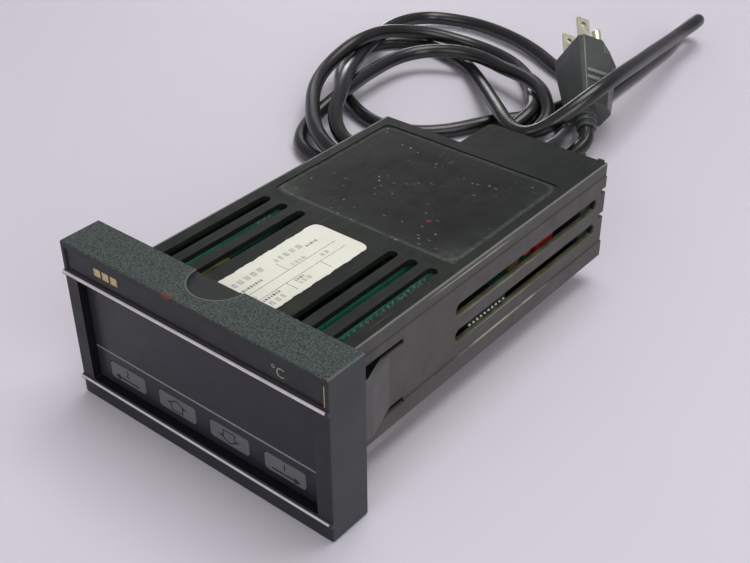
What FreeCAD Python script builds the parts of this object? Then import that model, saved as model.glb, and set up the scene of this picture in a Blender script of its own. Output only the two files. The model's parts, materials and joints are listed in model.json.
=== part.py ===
import FreeCAD, Part
import math
import os
import re
import Sketcher

# Panel-mount process controller with a mains cord, as a parametric document in millimetres.
# Frame: +X to the right seen from the front, +Y to the rear, +Z up. The origin lies under the
# middle of the controller's box, level with the foot of the bezel. Depths are counted from the
# bezel's front plane, whose place is the derived value "front".

Vector = FreeCAD.Vector

# Driving dimensions: name, size, what it is
SIZES = (
    ("bezel_width", 112.5, "bezel, side to side"),
    ("bezel_height", 61.2, "bezel, foot to top"),
    ("bezel_depth", 15.5, "bezel, front plane to panel seat"),
    ("bezel_corner", 1.0, "bezel, corner radius seen from the front"),
    ("bezel_edge", 0.6, "bezel, rounding of the front edges"),
    ("bezel_wall", 2.5, "bezel, skirt thickness"),
    ("front_wall", 6.0, "bezel, thickness around the window"),
    ("ridge_radius", 0.9, "bright ridge, radius"),
    ("ridge_low", 6.9, "lower ridge, above the bezel's foot"),
    ("ridge_drop", 11.9, "upper ridge, below the bezel's top"),
    ("window_margin", 5.95, "window recess to the bezel's side"),
    ("window_low", 8.1, "window recess, above the bezel's foot"),
    ("window_drop", 13.1, "window recess, below the bezel's top"),
    ("window_corner", 0.8, "window recess, corner radius"),
    ("window_depth", 3.0, "window recess, front plane to overlay"),
    ("window_ledge", 2.0, "ledge that the overlay rests on"),
    ("strip_drop", 2.2, "title strip pocket, below the bezel's top"),
    ("strip_height", 8.2, "title strip pocket, height"),
    ("strip_margin", 1.6, "title strip pocket to the bezel's side"),
    ("strip_recess", 1.4, "title strip pocket, depth"),
    ("strip_thickness", 0.8, "title strip, thickness"),
    ("strip_gap", 0.15, "title strip, clearance in its pocket"),
    ("thumb_radius", 10.0, "thumb recess on the bezel's top, radius"),
    ("thumb_depth", 0.8, "thumb recess, depth"),
    ("overlay_thickness", 1.5, "overlay, thickness"),
    ("overlay_gap", 0.2, "overlay, clearance in the window recess"),
    ("key_width", 16.9, "key, side to side"),
    ("key_height", 6.6, "key, height"),
    ("key_corner", 1.3, "key, corner radius"),
    ("key_margin", 15.2, "window's side to the middle of the outermost key"),
    ("key_rise", 6.5, "window's lower edge to the middle of the keys"),
    ("key_gap", 0.25, "key, clearance in the overlay"),
    ("key_play", 0.15, "key flange to the overlay's back"),
    ("key_flange", 0.7, "key flange, overhang"),
    ("key_flange_thickness", 0.8, "key flange, thickness"),
    ("key_stem_radius", 1.5, "key stem, radius"),
    ("key_stem", 0.6, "key stem, length"),
    ("key_travel", 0.5, "key, travel"),
    ("plunger_radius", 1.7, "switch plunger, radius"),
    ("plunger_stand", 1.0, "switch plunger, length outside its switch"),
    ("plunger_seat", 0.8, "switch plunger, length inside its switch"),
    ("plunger_gap", 0.2, "switch plunger, clearance in its switch"),
    ("switch_width", 6.0, "key switch, width and height"),
    ("switch_depth", 3.0, "key switch, depth"),
    ("board_thickness", 1.6, "circuit boards, thickness"),
    ("board_margin", 1.9, "display board to the bezel's skirt"),
    ("digits_margin", 7.3, "digit module to the window's side"),
    ("digits_drop", 4.1, "digit module, below the window's upper edge"),
    ("digits_lift", 6.1, "digit module, above the keys"),
    ("digits_gap", 0.5, "digit module to the overlay's back"),
    ("boss_radius", 2.2, "display board boss, radius"),
    ("boss_inset", 3.4, "display board boss, from the board's edges"),
    ("screw_radius", 1.2, "display board screw, shank radius"),
    ("screw_bite", 3.0, "display board screw, length in the boss"),
    ("screw_head_radius", 2.2, "display board screw, head radius"),
    ("screw_head", 1.1, "display board screw, head height"),
    ("screw_gap", 0.05, "screw shank, clearance in its hole"),
    ("flange_thickness", 2.5, "case flange, thickness"),
    ("flange_gap", 0.2, "case flange, clearance in the bezel"),
    ("case_width", 88.2, "case, side to side"),
    ("case_height", 39.5, "case, floor to top"),
    ("case_wall", 2.0, "case, wall thickness"),
    ("left_length", 149.3, "front plane to the case's left rear edge"),
    ("right_length", 169.5, "front plane to the case's right rear edge"),
    ("bay_left", 8.4, "middle plane to the left side of the rear bay"),
    ("bay_corner", 2.5, "rear bay, corner radius"),
    ("rail_height", 6.5, "lower side rail, height"),
    ("rail_proud", 0.5, "lower side rail, how far it stands out"),
    ("band_height", 5.2, "upper side band, height"),
    ("band_inset", 0.4, "upper side band, how far it is set in"),
    ("vent_width", 4.0, "top vent slot, width"),
    ("vent_pitch", 8.1, "top vent slots, slot to slot"),
    ("vent_margin", 5.6, "outermost top vent slot to the case's inner side"),
    ("vent_setback", 5.5, "top vent slots, panel seat to front end"),
    ("vent_length", 53.0, "top vent slot, length"),
    ("plate_margin", 4.6, "plate recess to the case's side"),
    ("plate_setback", 5.5, "plate recess, from the top vents' rear end"),
    ("plate_rear_margin", 5.3, "plate recess, from the left rear edge"),
    ("plate_corner", 2.0, "plate recess, corner radius"),
    ("plate_depth", 0.4, "plate recess, depth"),
    ("side_vent_height", 5.0, "side vent slot, height"),
    ("side_vent_rise", 14.65, "lower side vent, above the case's floor"),
    ("side_vent_pitch", 10.5, "side vents, slot to slot"),
    ("side_vent_setback", 60.0, "side vents, panel seat to front end"),
    ("side_vent_margin", 6.0, "side vents, rear end to the right rear edge"),
    ("notch_height", 2.0, "rear edge notch, height"),
    ("notch_depth", 3.0, "rear edge notch, depth"),
    ("notch_rise", 3.6, "rear edge notch, above the vent's middle"),
    ("tab_rise", 7.85, "snap tab, above the case's floor"),
    ("tab_height", 21.1, "snap tab, height"),
    ("tab_slit", 2.0, "slit above and below the snap tab"),
    ("tab_root", 32.5, "panel seat to the snap tab's root"),
    ("tab_fold", 25.8, "panel seat to the snap tab's fold"),
    ("tab_crest", 12.3, "panel seat to the end of the tab's ramp"),
    ("tab_tip", 5.0, "panel seat to the snap tab's tip, the room for the panel"),
    ("tab_flare", 4.6, "snap tab, how far the ramp stands out"),
    ("tab_thickness", 2.0, "snap tab, thickness"),
    ("label_width", 24.0, "paper label, side to side"),
    ("label_setback", 3.5, "paper label, panel seat to front edge"),
    ("label_length", 52.0, "paper label, length"),
    ("label_corner", 3.0, "paper label, corner radius"),
    ("label_thickness", 0.2, "paper label, thickness"),
    ("inner_setback", 2.5, "panel seat to the inner boards' front edges"),
    ("inner_headroom", 1.5, "inner boards to the case's roof"),
    ("left_board_inset", 8.1, "left board, from the case's inner side"),
    ("middle_board_inset", 20.1, "middle board, from the case's inner side"),
    ("right_board_inset", 10.6, "right board, from the case's inner side"),
    ("power_board_inset", 12.6, "power board, from the case's inner side"),
    ("power_board_length", 43.5, "power board, length"),
    ("board_end_gap", 2.0, "inner boards to what lies behind them"),
    ("guide_width", 1.2, "board guide rib, width"),
    ("guide_height", 2.5, "board guide rib, height"),
    ("guide_gap", 0.1, "board guide rib, clearance to the board"),
    ("guide_setback", 62.5, "panel seat to the board guide ribs"),
    ("connector_width", 5.0, "board connector, side to side"),
    ("connector_height", 24.0, "board connector, height"),
    ("chip_length", 20.0, "logic chip, length"),
    ("chip_height", 7.0, "logic chip, height"),
    ("chip_thickness", 3.6, "logic chip, thickness"),
    ("chip_pitch", 24.0, "logic chips, chip to chip"),
    ("chip_offset", 34.0, "left board's front edge to the first chip"),
    ("chip_rise", 7.15, "logic chips, above the case's inner floor"),
    ("yellow_reach", 8.0, "yellow capacitor, how far it stands out"),
    ("yellow_length", 14.0, "yellow capacitor, length"),
    ("yellow_height", 9.0, "yellow capacitor, height"),
    ("yellow_offset", 12.0, "left board's front edge to the yellow capacitor"),
    ("yellow_drop", 12.0, "yellow capacitor's foot, below the board's top"),
    ("core_gap", 2.0, "transformer core to its neighbours"),
    ("core_stack", 14.0, "transformer core, stack depth"),
    ("core_headroom", 5.5, "transformer core to the case's roof"),
    ("core_yoke", 6.0, "transformer core, yoke and outer legs"),
    ("core_leg", 12.0, "transformer core, middle leg"),
    ("core_setback", 15.0, "transformer coil to the signal terminals"),
    ("coil_swell", 5.0, "transformer coil, how far it stands out of the core"),
    ("coil_gap", 0.2, "transformer coil, clearance in the core"),
    ("can_radius", 8.0, "smoothing capacitor, radius"),
    ("can_length", 25.0, "smoothing capacitor, length"),
    ("relay_length", 20.0, "relay, length"),
    ("relay_height", 16.0, "relay, height"),
    ("relay_thickness", 10.0, "relay, thickness"),
    ("relay_pitch", 23.0, "relay to relay"),
    ("relay_offset", 48.0, "middle board's rear edge to the first relay"),
    ("relay_rise", 11.15, "relays, above the case's inner floor"),
    ("header_reach", 8.4, "pin header, how far it stands out"),
    ("header_length", 22.4, "pin header, length"),
    ("header_height", 4.0, "pin header, height"),
    ("header_drop", 4.7, "pin header's foot, below the lower side vent"),
    ("brown_reach", 8.5, "brown capacitor, how far it stands out"),
    ("brown_length", 6.0, "brown capacitor, length"),
    ("brown_height", 9.0, "brown capacitor, height"),
    ("brown_offset", 41.0, "power board's rear edge to the brown capacitor"),
    ("varistor_radius", 3.2, "orange varistor, radius"),
    ("varistor_reach", 8.5, "orange varistor, how far it stands out"),
    ("varistor_offset", 30.0, "power board's rear edge to the varistor"),
    ("film_reach", 9.0, "red film capacitor, how far it stands out"),
    ("film_length", 11.0, "red film capacitor, length"),
    ("film_height", 11.0, "red film capacitor, height"),
    ("film_offset", 25.0, "power board's rear edge to the film capacitor"),
    ("power_part_drop", 1.0, "power board's parts, below the upper side vent"),
    ("block_setback", 13.5, "power terminal block, from the right rear edge"),
    ("signal_setback", 11.3, "signal terminal block, from the left rear edge"),
    ("block_base", 5.0, "terminal blocks, thickness behind the barriers"),
    ("block_gap", 0.2, "terminal blocks, clearance in the case"),
    ("barrier_thickness", 2.4, "terminal barrier, thickness"),
    ("barrier_margin", 1.7, "outermost power barrier to the case's inner side"),
    ("barrier_drop", 13.35, "power barriers' foot, below the case's top"),
    ("barrier_overhang", 1.5, "power barriers, past the right rear edge"),
    ("terminal_pitch", 8.0, "terminal to terminal"),
    ("terminal_drop", 7.85, "upper terminal screws, below the case's top"),
    ("signal_rise", 10.15, "lower signal screws, above the case's floor"),
    ("clamp_gap", 0.3, "terminal clamp plate to the barriers"),
    ("clamp_thickness", 0.8, "terminal clamp plate, thickness"),
    ("terminal_head", 1.8, "terminal screw, head height"),
    ("gland_gap", 0.6, "strain relief's collar to the bay's inner side"),
    ("gland_drop", 20.35, "cord's exit, below the case's top"),
    ("relief_collar", 7.0, "strain relief, collar radius"),
    ("relief_collar_depth", 2.5, "strain relief, collar depth"),
    ("relief_root", 6.0, "strain relief, radius at the collar"),
    ("relief_tip", 4.5, "strain relief, radius at its end"),
    ("relief_length", 32.0, "strain relief, length"),
    ("relief_groove", 0.9, "strain relief, groove depth"),
    ("relief_gap", 0.05, "strain relief, clearance in the power terminal block"),
    ("cord_diameter", 7.0, "mains cord, diameter"),
    ("coil_outer", 92.0, "loose coil, outer radius"),
    ("coil_inner", 46.0, "loose coil, inner radius"),
    ("coil_height", 14.5, "loose coil, height"),
    ("coil_edge", 4.0, "loose coil, rounding of its edges"),
    ("plug_width", 25.0, "plug, across the blades"),
    ("plug_roof", 8.0, "plug, middle to its blade side"),
    ("plug_foot", 15.4, "plug, middle to the grip's ground side"),
    ("plug_nose_foot", 12.9, "plug, middle to the nose's ground side"),
    ("plug_foot_width", 13.0, "plug, width of its ground side"),
    ("plug_shoulder", 8.5, "plug, middle to where the grip narrows"),
    ("plug_nose_shoulder", 4.5, "plug, middle to where the nose narrows"),
    ("plug_length", 37.0, "plug, length of grip and nose"),
    ("plug_nose", 7.5, "plug, length of the nose"),
    ("plug_bevel", 2.0, "plug, bevel of its long edges"),
    ("plug_taper", 0.72, "plug, share of its outline left at the rear of the grip"),
    ("plug_neck", 9.0, "plug, length of the neck"),
    ("plug_neck_root", 5.6, "plug neck, radius at the grip"),
    ("plug_neck_tip", 4.6, "plug neck, radius at the cord"),
    ("plug_neck_groove", 0.9, "plug neck, groove depth"),
    ("blade_width", 6.3, "plug blade, width"),
    ("blade_thickness", 1.5, "plug blade, thickness"),
    ("blade_length", 16.0, "plug blade, length"),
    ("blade_pitch", 12.7, "plug blades, blade to blade"),
    ("blade_rise", 1.7, "plug blades, above the plug's middle"),
    ("blade_hole", 1.6, "plug blade, radius of its hole"),
    ("blade_hole_inset", 4.0, "plug blade, its end to the hole"),
    ("pin_radius", 2.4, "ground pin, radius"),
    ("pin_length", 19.0, "ground pin, length"),
    ("pin_drop", 10.2, "ground pin, below the plug's middle"),
)

KEYS = ("return", "up", "down", "next")
CHIP_COUNT = 3
RELAY_COUNT = 2
VENTS_PER_GROUP = 3
POWER_BARRIER_COUNT = 4
SIGNAL_BARRIER_COUNT = 4
NUB_COUNT = 2
RELIEF_RING_COUNT = 5
NECK_RING_COUNT = 3

# Share of the shorter run that an arc of the cord takes up
ARC_SHARE = 0.45
# Change of volume that counts as none
TINY = 1e-6

# Places that follow from the driving dimensions
DERIVED = {
    "front": "(ridge_radius - right_length - barrier_overhang) / 2",
    "bezel_side": "bezel_width / 2",
    "ridge_high": "bezel_height - ridge_drop",
    "window_side": "bezel_side - window_margin",
    "window_high": "bezel_height - window_drop",
    "strip_high": "bezel_height - strip_drop",
    "cavity_front": "front + front_wall",
    "overlay_front": "front + window_depth",
    "overlay_back": "overlay_front + overlay_thickness",
    "key_level": "window_low + key_rise",
    "key_pitch": f"2 * (window_side - key_margin) / {len(KEYS) - 1}",
    "key_flange_front": "overlay_back + key_play",
    "key_back": "key_flange_front + key_flange_thickness",
    "plunger_front": "key_back + key_stem",
    "switch_front": "plunger_front + plunger_stand",
    "board_front": "switch_front + switch_depth",
    "board_back": "board_front + board_thickness",
    "display_side": "bezel_side - bezel_wall - board_margin",
    "display_low": "bezel_wall + board_margin",
    "display_high": "bezel_height - bezel_wall - board_margin",
    "digits_low": "key_level + key_height / 2 + digits_lift",
    "seat": "front + bezel_depth",
    "flange_front": "seat - flange_thickness",
    "flange_side": "bezel_side - bezel_wall - flange_gap",
    "flange_low": "bezel_wall + flange_gap",
    "flange_high": "bezel_height - bezel_wall - flange_gap",
    "side": "case_width / 2",
    "rail_side": "side + rail_proud",
    "band_side": "side - band_inset",
    "inner_side": "side - case_wall",
    "case_floor": "(bezel_height - case_height) / 2",
    "case_top": "case_floor + case_height",
    "inner_floor": "case_floor + case_wall",
    "inner_top": "case_top - case_wall",
    "rail_top": "case_floor + rail_height",
    "band_low": "case_top - band_height",
    "left_rear": "front + left_length",
    "right_rear": "front + right_length",
    "vent_front": "seat + vent_setback",
    "vent_rear": "vent_front + vent_length",
    "plate_side": "side - plate_margin",
    "side_vent_low": "case_floor + side_vent_rise",
    "side_vent_high": "side_vent_low + side_vent_pitch",
    "tab_low": "case_floor + tab_rise",
    "tab_high": "tab_low + tab_height",
    "inner_front": "seat + inner_setback",
    "board_top": "inner_top - inner_headroom",
    "board_middle": "(inner_floor + board_top) / 2",
    "left_board_left": "left_board_inset - inner_side",
    "middle_board_left": "inner_side - middle_board_inset",
    "right_board_left": "inner_side - right_board_inset",
    "power_board_left": "inner_side - power_board_inset",
    "signal_front": "left_rear - signal_setback",
    "signal_rear": "signal_front + block_base",
    "block_front": "right_rear - block_setback",
    "block_rear": "block_front + block_base",
    "left_board_rear": "signal_front - board_end_gap",
    "middle_board_rear": "block_front - board_end_gap",
    "power_board_rear": "block_front - board_end_gap",
    "power_board_front": "power_board_rear - power_board_length",
    "right_board_rear": "power_board_front - board_end_gap",
    "relay_front": "middle_board_rear - relay_offset",
    "can_place": "inner_front + (relay_front - inner_front) * 2 / 3",
    "power_part_level": "side_vent_high - power_part_drop",
    "core_left": "left_board_left + board_thickness + chip_thickness + core_gap",
    "core_right": "middle_board_left - relay_thickness - core_gap",
    "core_middle": "(core_left + core_right) / 2",
    "core_top": "inner_top - core_headroom",
    "core_front": "signal_front - core_setback - coil_swell - core_stack",
    "core_window": "(core_right - core_left) / 2 - core_yoke",
    "barrier_low": "case_top - barrier_drop",
    "signal_margin": f"(inner_side - bay_left - {SIGNAL_BARRIER_COUNT - 1} * terminal_pitch) / 2",
    "terminal_level": "case_top - terminal_drop",
    "signal_low_level": "case_floor + signal_rise",
    "clamp_width": "terminal_pitch - barrier_thickness - 2 * clamp_gap",
    "terminal_head_radius": "clamp_width / 2 - clamp_gap",
    "gland_place": "relief_collar + gland_gap + case_wall - bay_left",
    "gland_level": "case_top - gland_drop",
    "cord_radius": "cord_diameter / 2",
}

# The cord's points, counted from the bezel's front plane (x, depth, height)
COIL_MIDDLE = (-90.5, 259.0)
PLUG_SPOT = (-29.5, 278.7, 21.9)
PLUG_YAW = 37.4
PLUG_PITCH = 25.0
PLUG_ROLL = -65.0
EXIT_RUN = 6.0
LEAD_POINTS = (
    (0.6, 207.0, 28.8), (-3.0, 217.8, 26.0), (-10.5, 232.5, 21.0), (-20.2, 245.6, 14.5),
    (-29.7, 256.5, 8.5), (-36.3, 267.0, 4.4), (-37.9, 281.0, 3.6), (-36.6, 297.0, 3.6),
    (-38.2, 317.0, 3.6), (-37.4, 339.0, 3.6), (-39.2, 362.0, 3.6), (-38.9, 382.0, 3.6),
    (-41.2, 397.0, 3.8), (-40.6, 404.6, 4.9), (-37.4, 407.8, 8.0), (-33.6, 406.6, 11.8),
    (-30.4, 402.0, 14.6), (-29.3, 395.0, 15.4), (-29.5, 385.0, 14.9), (-27.6, 371.0, 16.5),
    (-24.3, 354.6, 19.2), (-20.2, 330.3, 23.8), (-15.9, 308.1, 26.8), (-12.9, 288.4, 29.8),
    (-11.0, 271.9, 31.4), (-11.2, 259.8, 30.6), (-13.2, 251.7, 28.0), (-15.8, 245.4, 24.8),
    (-18.8, 240.6, 21.6), (-21.6, 236.3, 18.8), (-25.0, 232.9, 16.4), (-29.1, 230.5, 14.4),
    (-35.4, 231.9, 13.0), (-42.3, 236.3, 12.2), (-49.7, 242.7, 11.8), (-56.5, 249.4, 10.8),
    (-69.0, 261.3, 9.4), (-81.2, 272.7, 8.0), (-92.2, 282.8, 6.8), (-103.4, 291.6, 5.6),
    (-113.5, 296.8, 4.8), (-124.0, 298.2, 4.4), (-134.0, 295.0, 4.2),
)
TAIL_POINTS = (
    (-40.0, 188.0, 4.2), (-29.0, 193.0, 4.0), (-19.0, 201.5, 3.9), (-12.5, 213.0, 3.8),
    (-9.8, 226.0, 3.8), (-9.2, 237.0, 4.0), (-9.6, 246.5, 5.2),
)

doc = FreeCAD.newDocument("process_controller")
sheet = doc.addObject("Spreadsheet::Sheet", "Sizes")
for row, (alias, size, note) in enumerate(SIZES, start=1):
    sheet.set(f"A{row}", note)
    sheet.set(f"B{row}", str(size))
    sheet.setAlias(f"B{row}", alias)
doc.recompute()
ALIASES = {alias for alias, size, note in SIZES}
nodes = []


# Reading and binding sizes

def expand(text):
    """Writes an expression on the size sheet out in full."""
    def one(match):
        word = match.group(0)
        if word in DERIVED:
            return "(" + expand(DERIVED[word]) + ")"
        if word in ALIASES:
            return "Sizes." + word
        raise KeyError(word)
    return re.sub(r"[a-z][a-z_]*", one, str(text))


def value(text):
    return float(sheet.evalExpression(expand(text)))


def bind(thing, name, text):
    thing.setExpression(name, expand(text))


def node(thing):
    """Marks an object as a sub-part of its own, written to a file of its own."""
    nodes.append(thing)
    return thing


# Sketches in a body

def new_body(label):
    return doc.addObject("PartDesign::Body", label)


PLANES = {"front": ("XZ_Plane", -1), "top": ("XY_Plane", 1), "side": ("YZ_Plane", 1)}


def sketch_on(body, facing, offset):
    """A sketch seen from the front (x, z), the top (x, y) or the side (y, z), at a depth or height."""
    role, sign = PLANES[facing]
    plane = next(item for item in body.Origin.OriginFeatures if item.Role == role)
    sketch = body.newObject("Sketcher::SketchObject", body.Name + "_outline")
    sketch.AttachmentSupport = [(plane, "")]
    sketch.MapMode = "FlatFace"
    bind(sketch, "AttachmentOffset.Base.z", f"{sign} * ({offset})")
    return sketch


def fix(sketch, kind, where, text):
    index = sketch.addConstraint(Sketcher.Constraint(kind, *where, value(text)))
    bind(sketch, f"Constraints[{index}]", text)


def pin_down(sketch, shape, point, spot):
    """Binds one point of a sketch shape to its two expressions."""
    fix(sketch, "DistanceX", (-1, 1, shape, point), spot[0])
    fix(sketch, "DistanceY", (-1, 1, shape, point), spot[1])


def polygon(sketch, points):
    spots = [Vector(value(across), value(up), 0) for across, up in points]
    count = len(spots)
    lines = [sketch.addGeometry(Part.LineSegment(spots[i - 1], spots[i])) for i in range(count)]
    for i in range(count):
        sketch.addConstraint(Sketcher.Constraint("Coincident", lines[i - 1], 2, lines[i], 1))
        pin_down(sketch, lines[i], 2, points[i])


def rectangle(sketch, low, high):
    polygon(sketch, (low, (high[0], low[1]), high, (low[0], high[1])))


def circle(sketch, middle, radius):
    ring = Part.Circle(Vector(value(middle[0]), value(middle[1]), 0), Vector(0, 0, 1), value(radius))
    shape = sketch.addGeometry(ring)
    fix(sketch, "Radius", (shape,), radius)
    pin_down(sketch, shape, 3, middle)


def arc(sketch, middle, radius, start, end):
    ring = Part.Circle(Vector(*middle, 0), Vector(0, 0, 1), radius)
    return sketch.addGeometry(Part.ArcOfCircle(ring, start, end))


def join_smoothly(sketch, arcs):
    """Joins arcs in their order by tangent lines, and returns the lines."""
    lines = []
    for this, after in zip(arcs, arcs[1:] + arcs[:1]):
        start = sketch.getPoint(this, 2)
        end = sketch.getPoint(after, 1)
        line = sketch.addGeometry(Part.LineSegment(start, end))
        sketch.addConstraint(Sketcher.Constraint("Tangent", this, 2, line, 1))
        sketch.addConstraint(Sketcher.Constraint("Tangent", line, 2, after, 1))
        lines.append(line)
    for other in arcs[1:]:
        sketch.addConstraint(Sketcher.Constraint("Equal", arcs[0], other))
    return lines


def slot(sketch, start, end, radius):
    """A slot with round ends, given by the middles of its two ends."""
    first = Vector(value(start[0]), value(start[1]), 0)
    last = Vector(value(end[0]), value(end[1]), 0)
    along = last - first
    turn = math.atan2(along.y, along.x)
    size = value(radius)
    quarter = math.pi / 2
    far = arc(sketch, (last.x, last.y), size, turn - quarter, turn + quarter)
    near = arc(sketch, (first.x, first.y), size, turn + quarter, turn + 3 * quarter)
    join_smoothly(sketch, [far, near])
    fix(sketch, "Radius", (far,), radius)
    pin_down(sketch, far, 3, end)
    pin_down(sketch, near, 3, start)


def rounded(sketch, low, high, radius):
    """A rectangle with round corners."""
    left, foot, right, head = value(low[0]), value(low[1]), value(high[0]), value(high[1])
    size = value(radius)
    middles = ((right - size, foot + size), (right - size, head - size),
               (left + size, head - size), (left + size, foot + size))
    quarter = math.pi / 2
    arcs = [arc(sketch, middle, size, (i - 1) * quarter, i * quarter) for i, middle in enumerate(middles)]
    lines = join_smoothly(sketch, arcs)
    for line, kind in zip(lines, ("Vertical", "Horizontal", "Vertical", "Horizontal")):
        sketch.addConstraint(Sketcher.Constraint(kind, line))
    fix(sketch, "Radius", (arcs[0],), radius)
    fix(sketch, "DistanceX", (-1, 1, lines[0], 1), high[0])
    fix(sketch, "DistanceY", (-1, 1, lines[1], 1), high[1])
    fix(sketch, "DistanceX", (-1, 1, lines[2], 1), low[0])
    fix(sketch, "DistanceY", (-1, 1, lines[3], 1), low[1])


# Features of a body

def add_feature(sketch, kind, length):
    body = sketch.getParentGeoFeatureGroup()
    before = body.Shape.Volume if body.Tip else 0.0
    feature = body.newObject("PartDesign::" + kind, f"{body.Name}_{kind.lower()}")
    feature.Profile = sketch
    bind(feature, "Length", length)
    # A pad drawn on the front plane grows to the rear, as a pocket there cuts to the rear
    seen_from_front = sketch.AttachmentSupport[0][0].Role == "XZ_Plane"
    feature.Reversed = kind == "Pad" and seen_from_front
    sketch.Visibility = False
    doc.recompute()
    after = body.Shape.Volume
    grows = kind == "Pad"
    if (after > before) != grows or abs(after - before) < TINY:
        raise ValueError(f"{feature.Name} changes nothing")
    return feature


def pad(sketch, length):
    return add_feature(sketch, "Pad", length)


def pocket(sketch, length):
    return add_feature(sketch, "Pocket", length)


def fillet(body, radius, chosen):
    """Rounds the edges of a body that the test picks."""
    base = body.Tip
    names = [f"Edge{i}" for i, edge in enumerate(base.Shape.Edges, start=1) if chosen(edge)]
    feature = body.newObject("PartDesign::Fillet", body.Name + "_fillet")
    feature.Base = (base, names)
    bind(feature, "Radius", radius)
    doc.recompute()
    return feature


# Part primitives

def box(label, low, high):
    """A block between two corners, each three expressions."""
    made = doc.addObject("Part::Box", label)
    for name, near, far in zip(("Length", "Width", "Height"), low, high):
        bind(made, name, f"({far}) - ({near})")
    for axis, near in zip("xyz", low):
        bind(made, f"Placement.Base.{axis}", near)
    return made


TURNS = {
    "x": FreeCAD.Rotation(Vector(0, 1, 0), 90),
    "y": FreeCAD.Rotation(Vector(1, 0, 0), -90),
    "z": FreeCAD.Rotation(),
}


def cylinder(label, start, along, radius, length):
    """A round bar from the middle of its first end, along +x, +y or +z."""
    made = doc.addObject("Part::Cylinder", label)
    made.Placement = FreeCAD.Placement(Vector(), TURNS[along])
    bind(made, "Radius", radius)
    bind(made, "Height", length)
    for axis, near in zip("xyz", start):
        bind(made, f"Placement.Base.{axis}", near)
    return made


def cut(label, base, tool):
    made = doc.addObject("Part::Cut", label)
    made.Base = base
    made.Tool = tool
    return made


def fuse(label, *pieces):
    made = doc.addObject("Part::MultiFuse", label)
    made.Shapes = list(pieces)
    return made


def group(label, pieces):
    """Like pieces that share one node, as separate solids."""
    made = doc.addObject("Part::Compound", label)
    made.Links = list(pieces)
    return made


# Front

def make_bezel():
    body = new_body("bezel")
    sketch = sketch_on(body, "front", "front")
    rounded(sketch, ("-bezel_side", "0"), ("bezel_side", "bezel_height"), "bezel_corner")
    pad(sketch, "bezel_depth")
    fillet(body, "bezel_edge", lambda edge: edge.BoundBox.YMax < value("front + bezel_edge"))

    sketch = sketch_on(body, "front", "cavity_front")
    rectangle(sketch, ("bezel_wall - bezel_side", "bezel_wall"),
              ("bezel_side - bezel_wall", "bezel_height - bezel_wall"))
    pocket(sketch, "bezel_depth - front_wall")

    sketch = sketch_on(body, "front", "front")
    rounded(sketch, ("-window_side", "window_low"), ("window_side", "window_high"), "window_corner")
    pocket(sketch, "window_depth + overlay_thickness")
    sketch = sketch_on(body, "front", "front")
    rectangle(sketch, ("window_ledge - window_side", "window_low + window_ledge"),
              ("window_side - window_ledge", "window_high - window_ledge"))
    pocket(sketch, "front_wall")

    sketch = sketch_on(body, "front", "front")
    rectangle(sketch, ("strip_margin - bezel_side", "strip_high - strip_height"),
              ("bezel_side - strip_margin", "strip_high"))
    pocket(sketch, "strip_recess")

    sketch = sketch_on(body, "top", "bezel_height")
    circle(sketch, ("0", "seat"), "thumb_radius")
    pocket(sketch, "thumb_depth")

    sketch = sketch_on(body, "side", "-bezel_side")
    circle(sketch, ("front", "ridge_low"), "ridge_radius")
    circle(sketch, ("front", "ridge_high"), "ridge_radius")
    pad(sketch, "bezel_width")

    sketch = sketch_on(body, "front", "cavity_front")
    for spot in boss_spots():
        circle(sketch, spot, "boss_radius")
    pad(sketch, "board_front - cavity_front")
    sketch = sketch_on(body, "front", "board_front - screw_bite - screw_gap")
    for spot in boss_spots():
        circle(sketch, spot, "screw_radius + screw_gap")
    pocket(sketch, "screw_bite + screw_gap")
    node(body)


def boss_spots():
    return [(f"{x_side} * (display_side - boss_inset)", z)
            for x_side in (-1, 1) for z in ("display_low + boss_inset", "display_high - boss_inset")]


def make_title_strip():
    body = new_body("title_strip")
    sketch = sketch_on(body, "front", "front + strip_recess - strip_thickness")
    rectangle(sketch, ("strip_margin + strip_gap - bezel_side", "strip_high - strip_height + strip_gap"),
              ("bezel_side - strip_margin - strip_gap", "strip_high - strip_gap"))
    pad(sketch, "strip_thickness")
    node(body)


def key_middle(index):
    return f"{index - (len(KEYS) - 1) / 2} * key_pitch"


def key_outline(sketch, index, grow):
    """The round-cornered outline of a key, or of what lies around it."""
    middle = key_middle(index)
    rounded(sketch, (f"{middle} - key_width / 2 - {grow}", f"key_level - key_height / 2 - {grow}"),
            (f"{middle} + key_width / 2 + {grow}", f"key_level + key_height / 2 + {grow}"),
            f"key_corner + {grow}")


def make_overlay():
    body = new_body("front_overlay")
    sketch = sketch_on(body, "front", "overlay_front")
    rounded(sketch, ("overlay_gap - window_side", "window_low + overlay_gap"),
            ("window_side - overlay_gap", "window_high - overlay_gap"), "window_corner")
    pad(sketch, "overlay_thickness")
    sketch = sketch_on(body, "front", "overlay_front")
    for index in range(len(KEYS)):
        key_outline(sketch, index, "key_gap")
    pocket(sketch, "overlay_thickness")
    node(body)


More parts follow.
